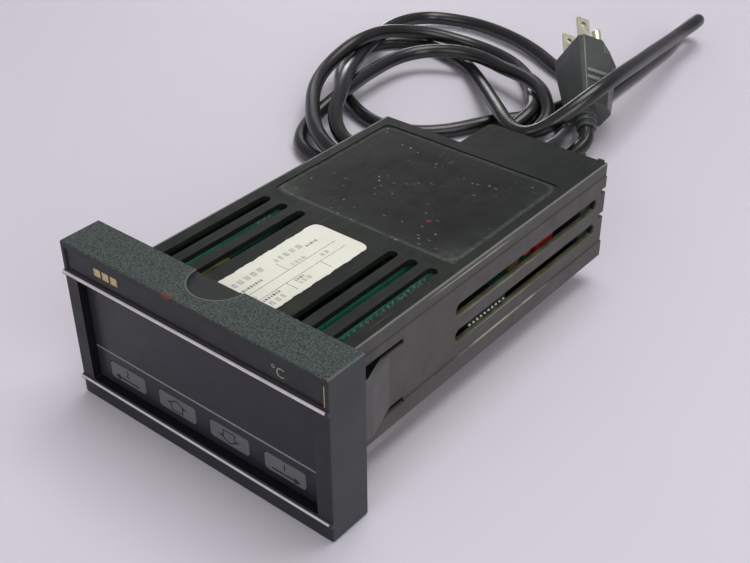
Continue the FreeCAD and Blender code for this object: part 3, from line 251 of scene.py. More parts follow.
class Look:
    """One finish: a shader and the nodes that drive it from the piece's own coordinates."""

    def __init__(self, name, roughness=0.5, metallic=0.0, specular=0.3):
        self.material = bpy.data.materials.new(name)
        self.material.use_nodes = True
        self.nodes = self.material.node_tree.nodes
        self.links = self.material.node_tree.links
        self.shader = self.nodes["Principled BSDF"]
        self.shader.inputs["Roughness"].default_value = roughness
        self.shader.inputs["Metallic"].default_value = metallic
        self.shader.inputs["Specular IOR Level"].default_value = specular
        coordinates = self.nodes.new("ShaderNodeTexCoord")
        self.place = coordinates.outputs["Object"]
        self.normal = coordinates.outputs["Normal"]

    def feed(self, socket, source):
        """Links a socket to a node, or sets it to a colour or a number."""
        if isinstance(source, bpy.types.NodeSocket):
            self.links.new(source, socket)
        elif isinstance(source, tuple):
            socket.default_value = (*source, 1) if len(socket.default_value) == 4 else source
        else:
            socket.default_value = source

    def calc(self, kind, first, second=0.0):
        node = self.nodes.new("ShaderNodeMath")
        node.operation = kind
        self.feed(node.inputs[0], first)
        self.feed(node.inputs[1], second)
        return node.outputs[0]

    def times(self, *sources):
        made = sources[0]
        for source in sources[1:]:
            made = self.calc("MULTIPLY", made, source)
        return made

    def rest(self, source):
        return self.calc("SUBTRACT", 1.0, source)

    def past(self, source, limit):
        """How far a value is past a limit."""
        return self.calc("MAXIMUM", self.calc("SUBTRACT", source, limit))

    def slant(self, first, second):
        """The length across two lengths at a right angle."""
        return self.calc("SQRT", self.calc("ADD", self.times(first, first), self.times(second, second)))

    def axis(self, name, source=None):
        split = self.nodes.new("ShaderNodeSeparateXYZ")
        self.feed(split.inputs[0], source or self.place)
        return split.outputs[name]

    def across(self):
        """Millimetres to the right of the middle."""
        return self.calc("DIVIDE", self.axis("X"), MM)

    def sideways(self):
        """Millimetres from the middle to either side."""
        return self.calc("ABSOLUTE", self.across())

    def depth(self):
        """Millimetres back from the bezel's front plane."""
        return self.calc("DIVIDE", self.calc("SUBTRACT", self.axis("Y"), FRONT), MM)

    def height(self):
        """Millimetres above the floor."""
        return self.calc("DIVIDE", self.axis("Z"), MM)

    def away(self, x, depth):
        """Millimetres from an upright line through a point of the plan."""
        return self.slant(self.calc("SUBTRACT", self.across(), x), self.calc("SUBTRACT", self.depth(), depth))

    def stretched(self, scale):
        mapping = self.nodes.new("ShaderNodeMapping")
        self.feed(mapping.inputs["Vector"], self.place)
        mapping.inputs["Scale"].default_value = scale
        return mapping.outputs[0]

    def noise(self, scale, detail, roughness=0.55, source=None):
        node = self.nodes.new("ShaderNodeTexNoise")
        self.feed(node.inputs["Vector"], source or self.place)
        node.inputs["Scale"].default_value = scale
        node.inputs["Detail"].default_value = detail
        node.inputs["Roughness"].default_value = roughness
        return node.outputs["Fac"]

    def cells(self, scale, source=None):
        node = self.nodes.new("ShaderNodeTexVoronoi")
        self.feed(node.inputs["Vector"], source or self.place)
        node.inputs["Scale"].default_value = scale
        return node.outputs["Distance"]

    def waves(self, scale, distortion, axis):
        node = self.nodes.new("ShaderNodeTexWave")
        node.bands_direction = axis
        self.feed(node.inputs["Vector"], self.place)
        node.inputs["Scale"].default_value = scale
        node.inputs["Distortion"].default_value = distortion
        return node.outputs["Fac"]

    def fade(self, source, low, high, start=0.0, end=1.0):
        """One value up to a low mark, another past a high one, and a slope between them."""
        node = self.nodes.new("ShaderNodeMapRange")
        self.feed(node.inputs["Value"], source)
        for name, number in (("From Min", low), ("From Max", high), ("To Min", start), ("To Max", end)):
            node.inputs[name].default_value = number
        return node.outputs[0]

    def band(self, source, low, high, soft):
        """One between two values and nothing outside them."""
        return self.times(self.fade(source, low - soft, low + soft),
                          self.fade(source, high + soft, high - soft))

    def patches(self, scale, detail, low, high, roughness=0.55):
        """Uneven patches: nothing where the noise is low, one where it is high."""
        return self.fade(self.noise(scale, detail, roughness), low, high)

    def wander(self, scale, detail, low, high):
        """A value that wanders between two others."""
        return self.fade(self.noise(scale, detail), 0.3, 0.7, low, high)

    def mix(self, factor, first, second):
        node = self.nodes.new("ShaderNodeMix")
        node.data_type = "RGBA"
        self.feed(node.inputs[0], factor)
        self.feed(node.inputs[6], first)
        self.feed(node.inputs[7], second)
        return node.outputs[2]

    def over(self, colour, mask, share, top):
        """A colour with a share of another laid over it where the mask says."""
        return self.mix(self.times(mask, share), colour, top)

    def colour(self, source):
        self.feed(self.shader.inputs["Base Color"], source)

    def rough(self, source):
        self.feed(self.shader.inputs["Roughness"], source)

    def bump(self, source, depth):
        node = self.nodes.new("ShaderNodeBump")
        self.feed(node.inputs["Height"], source)
        node.inputs["Distance"].default_value = depth * MM
        self.links.new(node.outputs[0], self.shader.inputs["Normal"])


def moulded(name, colour, wear_and_highlight, roughness, grain=1800, depth=0.02, specular=0.3):
    """Moulded plastic: faint clouds of wear, a fine grain and uneven gloss."""
    look = Look(name, specular=specular)
    look.colour(look.mix(look.patches(90, 5, 0.35, 0.75), colour, wear_and_highlight))
    look.rough(look.wander(140, 3, roughness - 0.06, roughness + 0.08))
    look.bump(look.noise(grain, 2), depth)
    return look


THUMB_DEPTH = 15.5
THUMB_RADIUS = 10.0
WINDOW_HALF = 51.0
WINDOW_WALL = 4.0
WINDOW_FOOT = 7.9
WINDOW_HEAD = 48.3
LOWER_LINE = (6.95, 7.6)
UPPER_LINE = (49.3, 50.1)
LINE_END = 55.4


def smooth_bezel(look):
    """Smooth plastic with painted shade: the front faces are darker, and the window's walls and ledge
    darkest.
    """
    colour = look.mix(look.patches(60, 4, 0.3, 0.75), tint(57, 58, 61), tint(66, 67, 69))
    # Painted shade: faces that look forward are darker than the sides.
    ahead = look.fade(look.axis("Y", look.normal), -0.6, -0.8)
    colour = look.mix(ahead, colour, tint(43, 44, 48))
    # Painted shade on the window's walls and ledge, which lie in shadow in the recess.
    inside = look.times(look.fade(look.depth(), WINDOW_WALL, WINDOW_WALL - 0.5),
                        look.fade(look.sideways(), WINDOW_HALF, WINDOW_HALF - 0.5),
                        look.band(look.height(), WINDOW_FOOT, WINDOW_HEAD, 0.1))
    return look.over(colour, inside, look.rest(ahead), tint(17, 18, 20))


def thumb_recess(look, colour, top):
    """A dark smooth floor and a painted highlight on the rim."""
    reach = look.away(0, THUMB_DEPTH)
    floor = look.times(look.rest(top), look.fade(reach, THUMB_RADIUS + 0.1, THUMB_RADIUS - 0.1),
                       look.fade(look.height(), BEZEL_TOP - 2, BEZEL_TOP - 1.5))
    colour = look.mix(floor, colour, tint(36, 39, 37))
    # Painted highlight where light catches the rim's step.
    rim = look.times(top, look.band(reach, THUMB_RADIUS, THUMB_RADIUS + 0.35, 0.15))
    return look.over(colour, rim, 0.7, tint(122, 128, 122))


def silver_lines(look, colour):
    """The bright ridges above and below the window."""
    up = look.height()
    lines = look.calc("MAXIMUM", look.band(up, *UPPER_LINE, 0.06), look.band(up, *LOWER_LINE, 0.06))
    ridge = look.times(look.fade(look.depth(), -0.05, -0.2),
                       look.fade(look.across(), LINE_END, LINE_END - 0.4), lines)
    silver = look.mix(look.wander(300, 3, 0, 1), tint(196, 188, 192), tint(214, 206, 210))
    return look.mix(ridge, colour, silver)


def bezel_look():
    look = Look("bezel_plastic", specular=0.22)
    up = look.height()
    speckle = look.noise(1900, 3, 0.7)
    top = look.fade(up, BEZEL_TOP - 0.6, BEZEL_TOP - 0.2)
    grained = look.mix(look.fade(speckle, 0.36, 0.68), tint(28, 33, 32), tint(90, 100, 95))
    colour = look.mix(top, smooth_bezel(look), grained)
    colour = thumb_recess(look, colour, top)
    # The top is lighter along its right edge.
    wear_and_highlight = look.times(top, look.fade(look.across(), 55.3, 55.8))
    colour = look.over(colour, wear_and_highlight, 0.5, tint(118, 122, 120))
    colour = silver_lines(look, colour)
    # A red fleck on the upper edge
    fleck = look.times(look.band(look.across(), -8.6, -2.6, 1.4), look.fade(look.depth(), 0.9, 0.4),
                       look.fade(up, BEZEL_TOP - 1.4, BEZEL_TOP - 0.8), look.patches(700, 2, 0.46, 0.58))
    look.colour(look.mix(fleck, colour, tint(142, 40, 36)))
    look.rough(look.mix(top, look.wander(120, 3, 0.42, 0.55), (0.75, 0.75, 0.75)))
    grain = look.times(top, look.fade(speckle, 0.32, 0.7))
    look.bump(look.calc("ADD", grain, look.times(look.noise(2200, 2), 0.06)), 0.14)
    return look


PLATE_HALF = 39.4
PLATE_NEAR = 79.6
PLATE_FAR = 143.9
PLATE_MIDDLE = (PLATE_NEAR + PLATE_FAR) / 2
# The straight stretches of the dust rim, to either side of the plate's middle
RIM_HALF = 33.5
RIM_RUN = 26.2
# Each slot's pale sill, from its foot to its head
SILLS = ((33.35, 33.9), (22.85, 23.4))
# Each painted highlight along the flank's edges and ledges: its level, half its width, and its near and far
# end
EDGE_HIGHLIGHT_LINES = ((48.6, 0.22, 66, 104), (33.3, 0.14, 78, 122), (22.8, 0.14, 84, 118), (17.25, 0.22, 80, 128))


def plate_dust(look, colour, plate):
    """Dust in the plate recess: along its edges, thicker in the near corners, with specks and scratches."""
    across, wide, back = look.across(), look.sideways(), look.depth()
    middle = look.times(look.band(across, -33, 33, 6), look.band(back, 86, 138, 6))
    haze = look.times(plate, look.rest(middle), look.patches(150, 6, 0.4, 0.68, 0.7))
    along = look.calc("ABSOLUTE", look.calc("SUBTRACT", back, PLATE_MIDDLE))
    bend = look.slant(look.past(wide, RIM_HALF), look.past(along, RIM_RUN))
    rim = look.times(plate, look.band(bend, 4.3, 5.6, 0.7), look.patches(420, 4, 0.25, 0.6))
    corner = look.times(plate, look.fade(wide, 26, 38), look.fade(back, 95, 81),
                        look.patches(210, 6, 0.36, 0.6, 0.75))
    colour = look.over(colour, haze, 0.4, tint(70, 75, 70))
    colour = look.over(colour, corner, 0.5, tint(92, 97, 91))
    colour = look.over(colour, rim, 0.6, tint(88, 93, 87))
    specks = look.times(plate, look.fade(look.cells(250), 0.13, 0.06), look.patches(46, 2, 0.46, 0.6))
    colour = look.over(colour, specks, 0.75, tint(160, 164, 156))
    streaks = look.cells(1, look.stretched((140, 460, 1)))
    dashes = look.times(plate, look.fade(streaks, 0.16, 0.08), look.patches(60, 2, 0.48, 0.6))
    return look.over(colour, dashes, 0.5, tint(140, 144, 136))


def top_wear(look, colour, on_top):
    """One red speck, long scratches, and a residue beside the label."""
    red = look.times(on_top, look.fade(look.away(16.9, 96.5), 1.5, 0.6), look.patches(900, 2, 0.4, 0.55))
    colour = look.over(colour, red, 0.6, tint(134, 40, 46))
    lines = look.noise(26, 2, 0.5, look.stretched((60, 2.2, 1)))
    scratches = look.times(on_top, look.fade(lines, 0.62, 0.7), look.patches(40, 2, 0.48, 0.65))
    colour = look.over(colour, scratches, 0.22, tint(104, 106, 98))
    residue = look.times(on_top, look.band(look.across(), 12.6, 16.6, 1.6),
                         look.band(look.depth(), 18, 40, 6), look.patches(120, 4, 0.35, 0.6))
    return look.over(colour, residue, 0.5, tint(58, 57, 36))


def side_sills_and_highlights(look, colour, flank):
    """Pale sills in the side slots, painted highlights along the flank's edges and ledges and its rounded top
    edge, and the grey snap ramp.
    """
    up, wide, back = look.height(), look.sideways(), look.depth()
    sills = look.calc("MAXIMUM", *[look.band(up, foot, head, 0.1) for foot, head in SILLS])
    sills = look.times(sills, look.fade(wide, 41.9, 42.05), look.band(back, 76, 163, 0.5))
    colour = look.over(colour, sills, look.patches(220, 4, 0.1, 0.6), tint(104, 105, 84))
    # Painted highlights where light catches the flank's edges and ledges.
    for level, half, near, far in EDGE_HIGHLIGHT_LINES:
        wear_and_highlight = look.times(flank, look.band(up, level - half, level + half, 0.1),
                          look.band(back, near, far, 6), look.patches(60, 4, 0.3, 0.55))
        colour = look.over(colour, wear_and_highlight, 0.85, tint(184, 182, 168))
    # Painted highlight along the rounded top edge of the flank.
    rounded_edge_highlight = look.times(look.fade(up, CASE_TOP - 0.5, CASE_TOP - 0.3), look.fade(wide, 43.0, 43.2))
    colour = look.over(colour, rounded_edge_highlight, 0.55, tint(132, 134, 126))
    ramp = look.times(look.fade(wide, 44.2, 44.35), look.fade(up, 17.8, 18.2))
    return look.mix(ramp, colour, tint(92, 90, 90))


def case_look():
    look = Look("case_plastic", specular=0.14)
    clouds = look.patches(70, 6, 0.35, 0.75, 0.6)
    body = look.mix(clouds, tint(24, 28, 24), tint(33, 37, 32))
    # Painted light: the flanks are much lighter than the top, as light falls on them from the right.
    side = look.mix(clouds, tint(77, 76, 74), tint(89, 87, 84))
    flank = look.fade(look.sideways(), 43.2, 43.5)
    on_top = look.fade(look.height(), CASE_TOP - 1.2, CASE_TOP - 0.9)
    plate = look.times(on_top, look.band(look.across(), -PLATE_HALF, PLATE_HALF, 0.1),
                       look.band(look.depth(), PLATE_NEAR, PLATE_FAR, 0.1))
    colour = look.mix(flank, body, side)
    colour = look.mix(plate, colour, look.mix(clouds, tint(12, 16, 12), tint(21, 25, 20)))
    colour = plate_dust(look, colour, plate)
    colour = top_wear(look, colour, on_top)
    look.colour(side_sills_and_highlights(look, colour, flank))
    look.rough(look.wander(150, 4, 0.44, 0.6))
    look.bump(look.noise(2000, 2), 0.02)
    return look


def overlay_look():
    look = Look("smoked_overlay")
    sweep = look.fade(look.across(), -48, 30)
    colour = look.mix(sweep, tint(42, 44, 48), tint(31, 33, 40))
    look.colour(look.over(colour, look.patches(22, 3, 0.3, 0.75), 0.4, tint(40, 42, 49)))
    look.rough(look.wander(200, 4, 0.3, 0.42))
    look.bump(look.noise(900, 2), 0.01)
    return look


def board_look():
    """Green boards with painted light along the upper edge and painted shade further down in the case."""
    look = Look("green_board")
    traces = look.fade(look.waves(330, 6.0, "Z"), 0.4, 0.6)
    # Painted light on the upper boards, painted shade further down.
    lit_green = look.mix(traces, tint(92, 212, 178), tint(122, 236, 204))
    shaded_green = look.mix(traces, tint(14, 52, 40), tint(24, 74, 56))
    colour = look.mix(look.fade(look.height(), 38, 43), shaded_green, lit_green)
    look.colour(look.over(colour, look.patches(160, 4, 0.35, 0.7), 0.3, tint(24, 88, 68)))
    look.rough(look.wander(300, 3, 0.32, 0.5))
    look.bump(traces, 0.04)
    return look


def paper_look():
    look = Look("label_paper")
    fibres = look.patches(900, 4, 0.35, 0.7, 0.7)
    colour = look.over(tint(224, 224, 211), fibres, 0.35, tint(212, 212, 198))
    look.colour(look.over(colour, look.patches(70, 4, 0.45, 0.8), 0.4, tint(204, 201, 180)))
    look.rough(look.fade(fibres, 0, 1, 0.74, 0.86))
    look.bump(fibres, 0.03)
    return look


def cord_look():
    look = Look("cord_jacket", specular=0.65)
    scuffs = look.patches(260, 5, 0.5, 0.75, 0.65)
    look.colour(look.over(tint(10, 11, 11), scuffs, 0.4, tint(30, 33, 32)))
    look.rough(look.wander(180, 4, 0.27, 0.35))
    look.bump(look.noise(1200, 3), 0.03)
    return look


def metal_look(name, colour, tarnish, roughness):
    look = Look(name, metallic=1.0)
    look.colour(look.mix(look.patches(500, 5, 0.4, 0.72, 0.65), colour, tarnish))
    look.rough(look.wander(700, 3, roughness - 0.08, roughness + 0.12))
    look.bump(look.noise(1600, 2), 0.02)
    return look


def core_look():
    look = Look("core_laminations", metallic=0.8)
    sheets = look.waves(1000, 0.4, "Y")
    look.colour(look.mix(sheets, tint(70, 70, 74), tint(120, 120, 124)))
    look.rough(look.wander(300, 3, 0.42, 0.6))
    look.bump(sheets, 0.08)
    return look


def winding_look():
    look = Look("winding_tape")
    wraps = look.waves(120, 1.2, "Z")
    look.colour(look.mix(wraps, tint(188, 160, 76), tint(206, 180, 98)))
    look.rough(look.wander(400, 3, 0.4, 0.55))
    look.bump(wraps, 0.1)
    return look


def printed(name, colour, faded, roughness=0.5):
    """Ink or foil on a surface, thinner in places."""
    look = Look(name)
    look.colour(look.mix(look.patches(1400, 3, 0.4, 0.65), colour, faded))
    look.rough(look.wander(900, 2, roughness - 0.05, roughness + 0.1))
    look.bump(look.noise(2500, 2), 0.008)
    return look


looks = {
    "bezel": bezel_look(),
    "strip": moulded("strip_plastic", tint(28, 29, 31), tint(35, 36, 38), 0.4, 2600, 0.008),
    "overlay": overlay_look(),
    "key": moulded("key_caps", tint(92, 92, 96), tint(101, 101, 104), 0.5, 1500),
    "plunger": moulded("plunger_plastic", tint(150, 60, 44), tint(130, 48, 38), 0.5),
    "switch": moulded("switch_plastic", tint(40, 40, 41), tint(52, 52, 52), 0.5),
    "board": board_look(),
    "digits": moulded("digit_window", tint(54, 32, 32), tint(44, 28, 28), 0.22),
    "case": case_look(),
    "paper": paper_look(),
    "connector": moulded("connector_plastic", tint(38, 38, 40), tint(52, 52, 52), 0.48),
    "chip": moulded("chip_resin", tint(36, 36, 38), tint(48, 48, 48), 0.55),
    "yellow": moulded("yellow_resin", tint(124, 114, 52), tint(62, 58, 34), 0.4),
    "brown": moulded("brown_resin", tint(140, 96, 50), tint(118, 78, 40), 0.4),
    "orange": moulded("orange_resin", tint(204, 92, 40), tint(184, 78, 34), 0.4),
    "red": moulded("red_resin", tint(190, 44, 36), tint(168, 36, 32), 0.34),
    "can": metal_look("capacitor_can", tint(176, 178, 182), tint(150, 152, 158), 0.4),
    "relay": moulded("relay_cover", tint(92, 96, 106), tint(78, 82, 92), 0.35),
    "core": core_look(),
    "winding": winding_look(),
    "terminal": moulded("terminal_plastic", tint(40, 40, 41), tint(54, 54, 53), 0.5),
    "brass": metal_look("clamp_brass", tint(206, 178, 112), tint(166, 136, 78), 0.38),
    "steel": metal_look("screw_steel", tint(190, 190, 188), tint(150, 150, 150), 0.36),
    "cord": cord_look(),
    "prong": metal_look("prong_plating", tint(244, 244, 214), tint(226, 222, 182), 0.34),
}
plug_rubber = moulded("plug_rubber", tint(60, 64, 62), tint(72, 77, 74), 0.38, 1500, specular=0.6)
# Pale rubber on the grip ribs: painted highlights along them.
rib_highlight_rubber = moulded("rib_highlight_rubber", tint(116, 122, 116), tint(98, 104, 99), 0.4, 1500, specular=0.5)
# Solder and pins in a pale flat tone: painted glints.
solder_glint = moulded("solder_glint", tint(236, 240, 230), tint(206, 214, 204), 0.3)
silver_ink = printed("grey_ink", tint(132, 133, 136), tint(112, 113, 116))
gold_foil = printed("gold_foil", tint(196, 176, 132), tint(172, 150, 108), 0.42)
legend_ink = printed("legend_ink", tint(24, 25, 28), tint(36, 37, 40))
degree_ink = printed("degree_ink", tint(150, 146, 124), tint(124, 121, 104))
label_ink = printed("label_ink", tint(104, 106, 102), tint(150, 152, 144), 0.7)
faint_print = printed("faint_print", tint(172, 173, 165), tint(208, 207, 195), 0.75)
dark_print = printed("dark_print", tint(104, 107, 105), tint(150, 152, 147), 0.75)


def dress_nodes():
    for subpart in frame["record"]["subparts"]:
        thing = nodes[subpart["node"]]
        thing.data.materials.clear()
        thing.data.materials.append(looks[subpart["material_slot"]].material)


# Front pieces

KEYS = ("return", "up", "down", "next")
KEY_PITCH = 23.4
KEY_LEVEL = 14.6
KEY_FACE = 3.0
CAP_HALF_WIDTH = 8.4
CAP_HALF_HEIGHT = 3.25
CAP_RISE = 0.22
CAP_SEAT = 0.3
CAP_CORNER = 1.25
CAP_MARGIN = 0.3
CAP_CROWN = 0.16
LEGEND_FACE = KEY_FACE - 0.43
LEGEND_LINE = 0.4
INK = 0.1
TYPE_SIZE = 1.4
NUMERAL_HEIGHT = 2.7
NUMERAL_LEFT = 1.0
NUMERAL_DROP = 0.1
# The corners of the arrow on the up key, across and up from its middle
ARROW = ((0.0, 2.5), (-4.7, 0.1), (-2.7, 0.1), (-2.7, -2.3), (2.7, -2.3), (2.7, 0.1), (4.7, 0.1))
SHAFT_HALF = 5.2
SHAFT_DROP = 1.65
SHAFT_HALF_HEIGHT = 0.3
# The corners of the small arrow's tip, along its shaft and up
TIP = ((6.4, 0), (3.9, 1.2), (3.9, -1.2))


def key_middle(index):
    return (index - (len(KEYS) - 1) / 2) * KEY_PITCH


def make_key_caps():
    """A soft-edged cap with a slightly raised middle on the front of each key."""
    x = key_middle(0)
    cap = block("return_key_cap",
                at(x - CAP_HALF_WIDTH, KEY_FACE - CAP_RISE, KEY_LEVEL - CAP_HALF_HEIGHT),
                at(x + CAP_HALF_WIDTH, KEY_FACE + CAP_SEAT, KEY_LEVEL + CAP_HALF_HEIGHT))
    open_up(cap)
    pick_edges(cap, lambda start, end: abs(start.y - end.y) > CAP_SEAT * MM)
    bpy.ops.mesh.bevel(offset=CAP_CORNER * MM, segments=6, affect="EDGES")
    pick_faces(cap, lambda middle, normal: normal.y < -0.9)
    bpy.ops.mesh.inset(thickness=CAP_MARGIN * MM)
    bpy.ops.transform.translate(value=(0, -CAP_CROWN * MM, 0))
    close_up(cap, 20)
    dress(cap, looks["key"], "return_key")
    for index, name in enumerate(KEYS[1:], start=1):
        twin = copy_to(cap, f"{name}_key_cap", (index * KEY_PITCH * MM, 0, 0))
        dress(twin, looks["key"], f"{name}_key")


def flat_outline(name, points, x, level):
    """A closed line of even width on a key's face, through points across and up from a middle."""
    clear_selection()
    bpy.ops.mesh.primitive_circle_add(vertices=len(points), radius=1 * MM, fill_type="NGON")
    piece = bpy.context.object
    for corner, (across, up) in zip(piece.data.vertices, points):
        corner.co = at(x + across, LEGEND_FACE, level + up)
    keep_place(name)
    open_up(piece)
    face_outwards()
    bpy.ops.mesh.select_mode(type="FACE")
    bpy.ops.mesh.select_all(action="SELECT")
    bpy.ops.mesh.inset(thickness=LEGEND_LINE * MM)
    bpy.ops.mesh.delete(type="FACE")
    bpy.ops.mesh.select_all(action="SELECT")
    bpy.ops.mesh.extrude_region_move(TRANSFORM_OT_translate={"value": (0, INK * MM, 0)})
    face_outwards()
    return close_up(piece)


def raised_text(name, words, height, x, level, depth):
    """Plain characters standing upright on a front surface, as a mesh."""
    clear_selection()
    bpy.ops.object.text_add(location=(0, 0, 0))
    text = bpy.context.object
    text.data.body = words
    text.data.size = height * MM * TYPE_SIZE
    text.data.extrude = INK / 2 * MM
    bpy.ops.object.convert(target="MESH")
    piece = bpy.context.object
    piece.rotation_euler = (math.pi / 2, 0, 0)
    piece.location = at(x, depth + INK / 2, level)
    return keep_place(name)


def make_key_legends():
    """Block arrows on the inner keys; a numeral over a long arrow on the outer ones."""
    up = flat_outline("up_key_legend", ARROW, key_middle(1), KEY_LEVEL)
    dress(up, legend_ink, "up_key")
    upturned = [(across, -height) for across, height in ARROW]
    down = flat_outline("down_key_legend", upturned, key_middle(2), KEY_LEVEL)
    dress(down, legend_ink, "down_key")
    level = KEY_LEVEL - SHAFT_DROP
    for index, name, numeral, sense in ((0, "return", "2", -1), (3, "next", "1", 1)):
        x = key_middle(index)
        number = raised_text(f"{name}_numeral", numeral, NUMERAL_HEIGHT,
                             x - NUMERAL_LEFT, KEY_LEVEL - NUMERAL_DROP, LEGEND_FACE)
        shaft = block(f"{name}_shaft",
                      at(x - SHAFT_HALF, LEGEND_FACE, level - SHAFT_HALF_HEIGHT),
                      at(x + SHAFT_HALF, LEGEND_FACE + INK, level + SHAFT_HALF_HEIGHT))
        tip = flat_outline(f"{name}_tip", [(sense * along, up) for along, up in TIP], x, level)
        legend = join(f"{name}_key_legend", [number, shaft, tip])
        dress(legend, legend_ink, f"{name}_key")


STRIP_FACE = 0.6
MARK_FACE = STRIP_FACE - 0.06
DEGREE_HEIGHT = 3.4
FIELD_PITCH = 3.9


def make_front_marks():
    """The degree mark, three plain gold fields, the line on the window, and a painted highlight line on the
    title strip's right edge.
    """
    degree = raised_text("degree_mark", "°C", DEGREE_HEIGHT, 34.4, 52.9, MARK_FACE)
    dress(degree, degree_ink)
    first = block("gold_field", at(-41.2, MARK_FACE, 53.7), at(-38.2, STRIP_FACE + 0.05, 56.5))
    others = [copy_to(first, f"gold_field_{i}", (i * FIELD_PITCH * MM, 0, 0)) for i in (1, 2)]
    dress(soften(join("gold_field", [first] + others), 0.25), gold_foil)
    line = block("divider_line", at(-49.8, 2.9, 20.7), at(47.6, 3.1, 21.4))
    dress(soften(line, 0.04), silver_ink)
    # Painted highlight along the title strip's right edge.
    edge = block("strip_edge_highlight", at(54.5, -0.06, 51.3), at(54.75, 0.5, 58.7))
    dress(soften(edge, 0.05), gold_foil)


# Label and boards

LABEL_HALF = 12.0
LABEL_NEAR = 19.0
LABEL_FAR = 71.0
LABEL_ROUND = 3.0
LABEL_BACK = CASE_TOP + 0.02
PAPER = 0.16
LABEL_FACE = LABEL_BACK + PAPER
RULE = 0.22
RULE_NEAR = LABEL_NEAR + 0.6
RULE_FAR = LABEL_FAR - 4.5
LONG_RULES = (0.6, 5.0)
# Each short rule's left and right end and its depth
SHORT_RULES = ((-5.0, 0.6, 44.0), (5.0, 10.2, 38.0), (5.0, 10.2, 54.0))
# Each row of bars: its left edge, its width, and its near and far end
FAINT_ROWS = (
    (-7.6, 2.4, 24, 39), (-7.4, 2.4, 45, 57), (-1.4, 1.6, 47, 53), (2.2, 1.8, 22, 27),
    (8.0, 2.2, 22, 33), (7.4, 1.8, 41, 46), (2.0, 1.8, 57, 61),
)
DARK_ROWS = ((-2.6, 1.1, 24, 35), (5.9, 1.1, 24, 34), (5.8, 1.1, 41, 45), (-5.0, 1.1, 58, 63))


def paper_edge(across, depth):
    """Where a point of the paper lies across the label: its long edges waver and its far end is round."""
    waver = (0.12 * math.sin(depth * 0.62 + 2 * across) + 0.09 * math.sin(depth * 1.37 + across)
             + 0.05 * math.sin(depth * 2.9))
    end = max(0.0, depth - (LABEL_FAR - LABEL_ROUND)) / LABEL_ROUND
    half = LABEL_HALF - LABEL_ROUND * (1 - math.sqrt(max(0.0, 1 - end * end)))
    return across * (half + waver * abs(across) * (1 - end))


def make_label():
    """Paper with wavy long edges."""
    clear_selection()
    bpy.ops.mesh.primitive_grid_add(x_subdivisions=12, y_subdivisions=104, size=1)
    paper = bpy.context.object
    paper.name = "paper_sticker"
    for corner in paper.data.vertices:
        depth = LABEL_NEAR + (corner.co.y + 0.5) * (LABEL_FAR - LABEL_NEAR)
        corner.co = at(paper_edge(corner.co.x * 2, depth), depth, LABEL_BACK)
    open_up(paper)
    face_outwards()
    bpy.ops.mesh.extrude_region_move(TRANSFORM_OT_translate={"value": (0, 0, PAPER * MM)})
    face_outwards()
    close_up(paper)
    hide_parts("paper_label")
    dress(paper, looks["paper"])


def ink_bar(left, right, near, far, rise):
    """A thin bar of print on the label."""
    return block("ink_bar", at(left, near, LABEL_FACE - 0.05), at(right, far, LABEL_FACE + rise))


def make_label_print():
    """Rules and grey bars in place of the label's words."""
    rules = [ink_bar(left, left + RULE, RULE_NEAR, RULE_FAR, 0.02) for left in LONG_RULES]
    rules += [ink_bar(left, right, depth, depth + RULE, 0.02) for left, right, depth in SHORT_RULES]
    dress(join("label_rules", rules), label_ink)
    for name, ink, rows in (("label_faint_bars", faint_print, FAINT_ROWS),
                            ("label_dark_bars", dark_print, DARK_ROWS)):
        bars = []
        for left, width, depth, end in rows:
            while depth < end:
                length = width * (0.62 + 0.2 * math.sin(depth * 2.1 + left))
                bars.append(ink_bar(left, left + width, depth, depth + length, 0.015))
                depth += length + 0.42 * width
        dress(join(name, bars), ink)


SOLDER_RADIUS = 0.6
# Each board's rows of solder: level, near and far end, and spacing
SOLDER_ROWS = {
    "right_board": ((45.6, 19, 73, 2.6), (44.2, 40, 73, 2.1), (42.9, 46, 73, 2.3)),
    "middle_board": ((45.8, 24, 31, 1.5), (44.6, 25, 30, 1.7)),
    "left_board": ((45.8, 64, 71, 2.4),),
}
PIN_COUNT = 10
PIN_PITCH = 2.22
PIN_MARGIN = 1.2


def make_solder():
    """Rows of solder on the boards that show through the slots, and the pins of the header."""
    clear_selection()
    bpy.ops.mesh.primitive_uv_sphere_add(segments=8, ring_count=5, radius=SOLDER_RADIUS * MM,
                                         location=(0, 0, 0))
    dome = keep_place("solder_dot")
    for board, rows in SOLDER_ROWS.items():
        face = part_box(board)[1].x
        dots = []
        for level, depth, end, step in rows:
            while depth < end:
                waver = 0.4 * math.sin(depth * 2.3)
                dots.append(copy_to(dome, "dot", (face, FRONT + depth * MM, (level + waver) * MM)))
                depth += step + 0.5 * math.sin(depth * 1.7)
        dress(join(f"{board}_solder", dots), solder_glint)
    low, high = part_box("pin_header")
    middle = (low.z + high.z) / 2
    pins = [copy_to(dome, "pin", (high.x, low.y + (PIN_MARGIN + index * PIN_PITCH) * MM, middle))
            for index in range(PIN_COUNT)]
    dress(join("right_board_pins", pins), solder_glint)
    bpy.data.objects.remove(dome)


# Rear pieces

SCREW_REACH = 5.5
SCREW_RADIUS = 2.2
SCREW_HEIGHT = 1.8
SLOT_HALF = 0.35
SLOT_DEPTH = 0.9


def screw_middles():
    """The middle of each screw of the CAD node, found from its corners that lie close together."""
    groups = []
    for corner in nodes["terminal_screws"].data.vertices:
        near = [group for group in groups if (group[0] - corner.co).length < SCREW_REACH * MM]
        if near:
            near[0].append(corner.co.copy())
        else:
            groups.append([corner.co.copy()])
    return [sum(group, Vector()) / len(group) for group in groups]


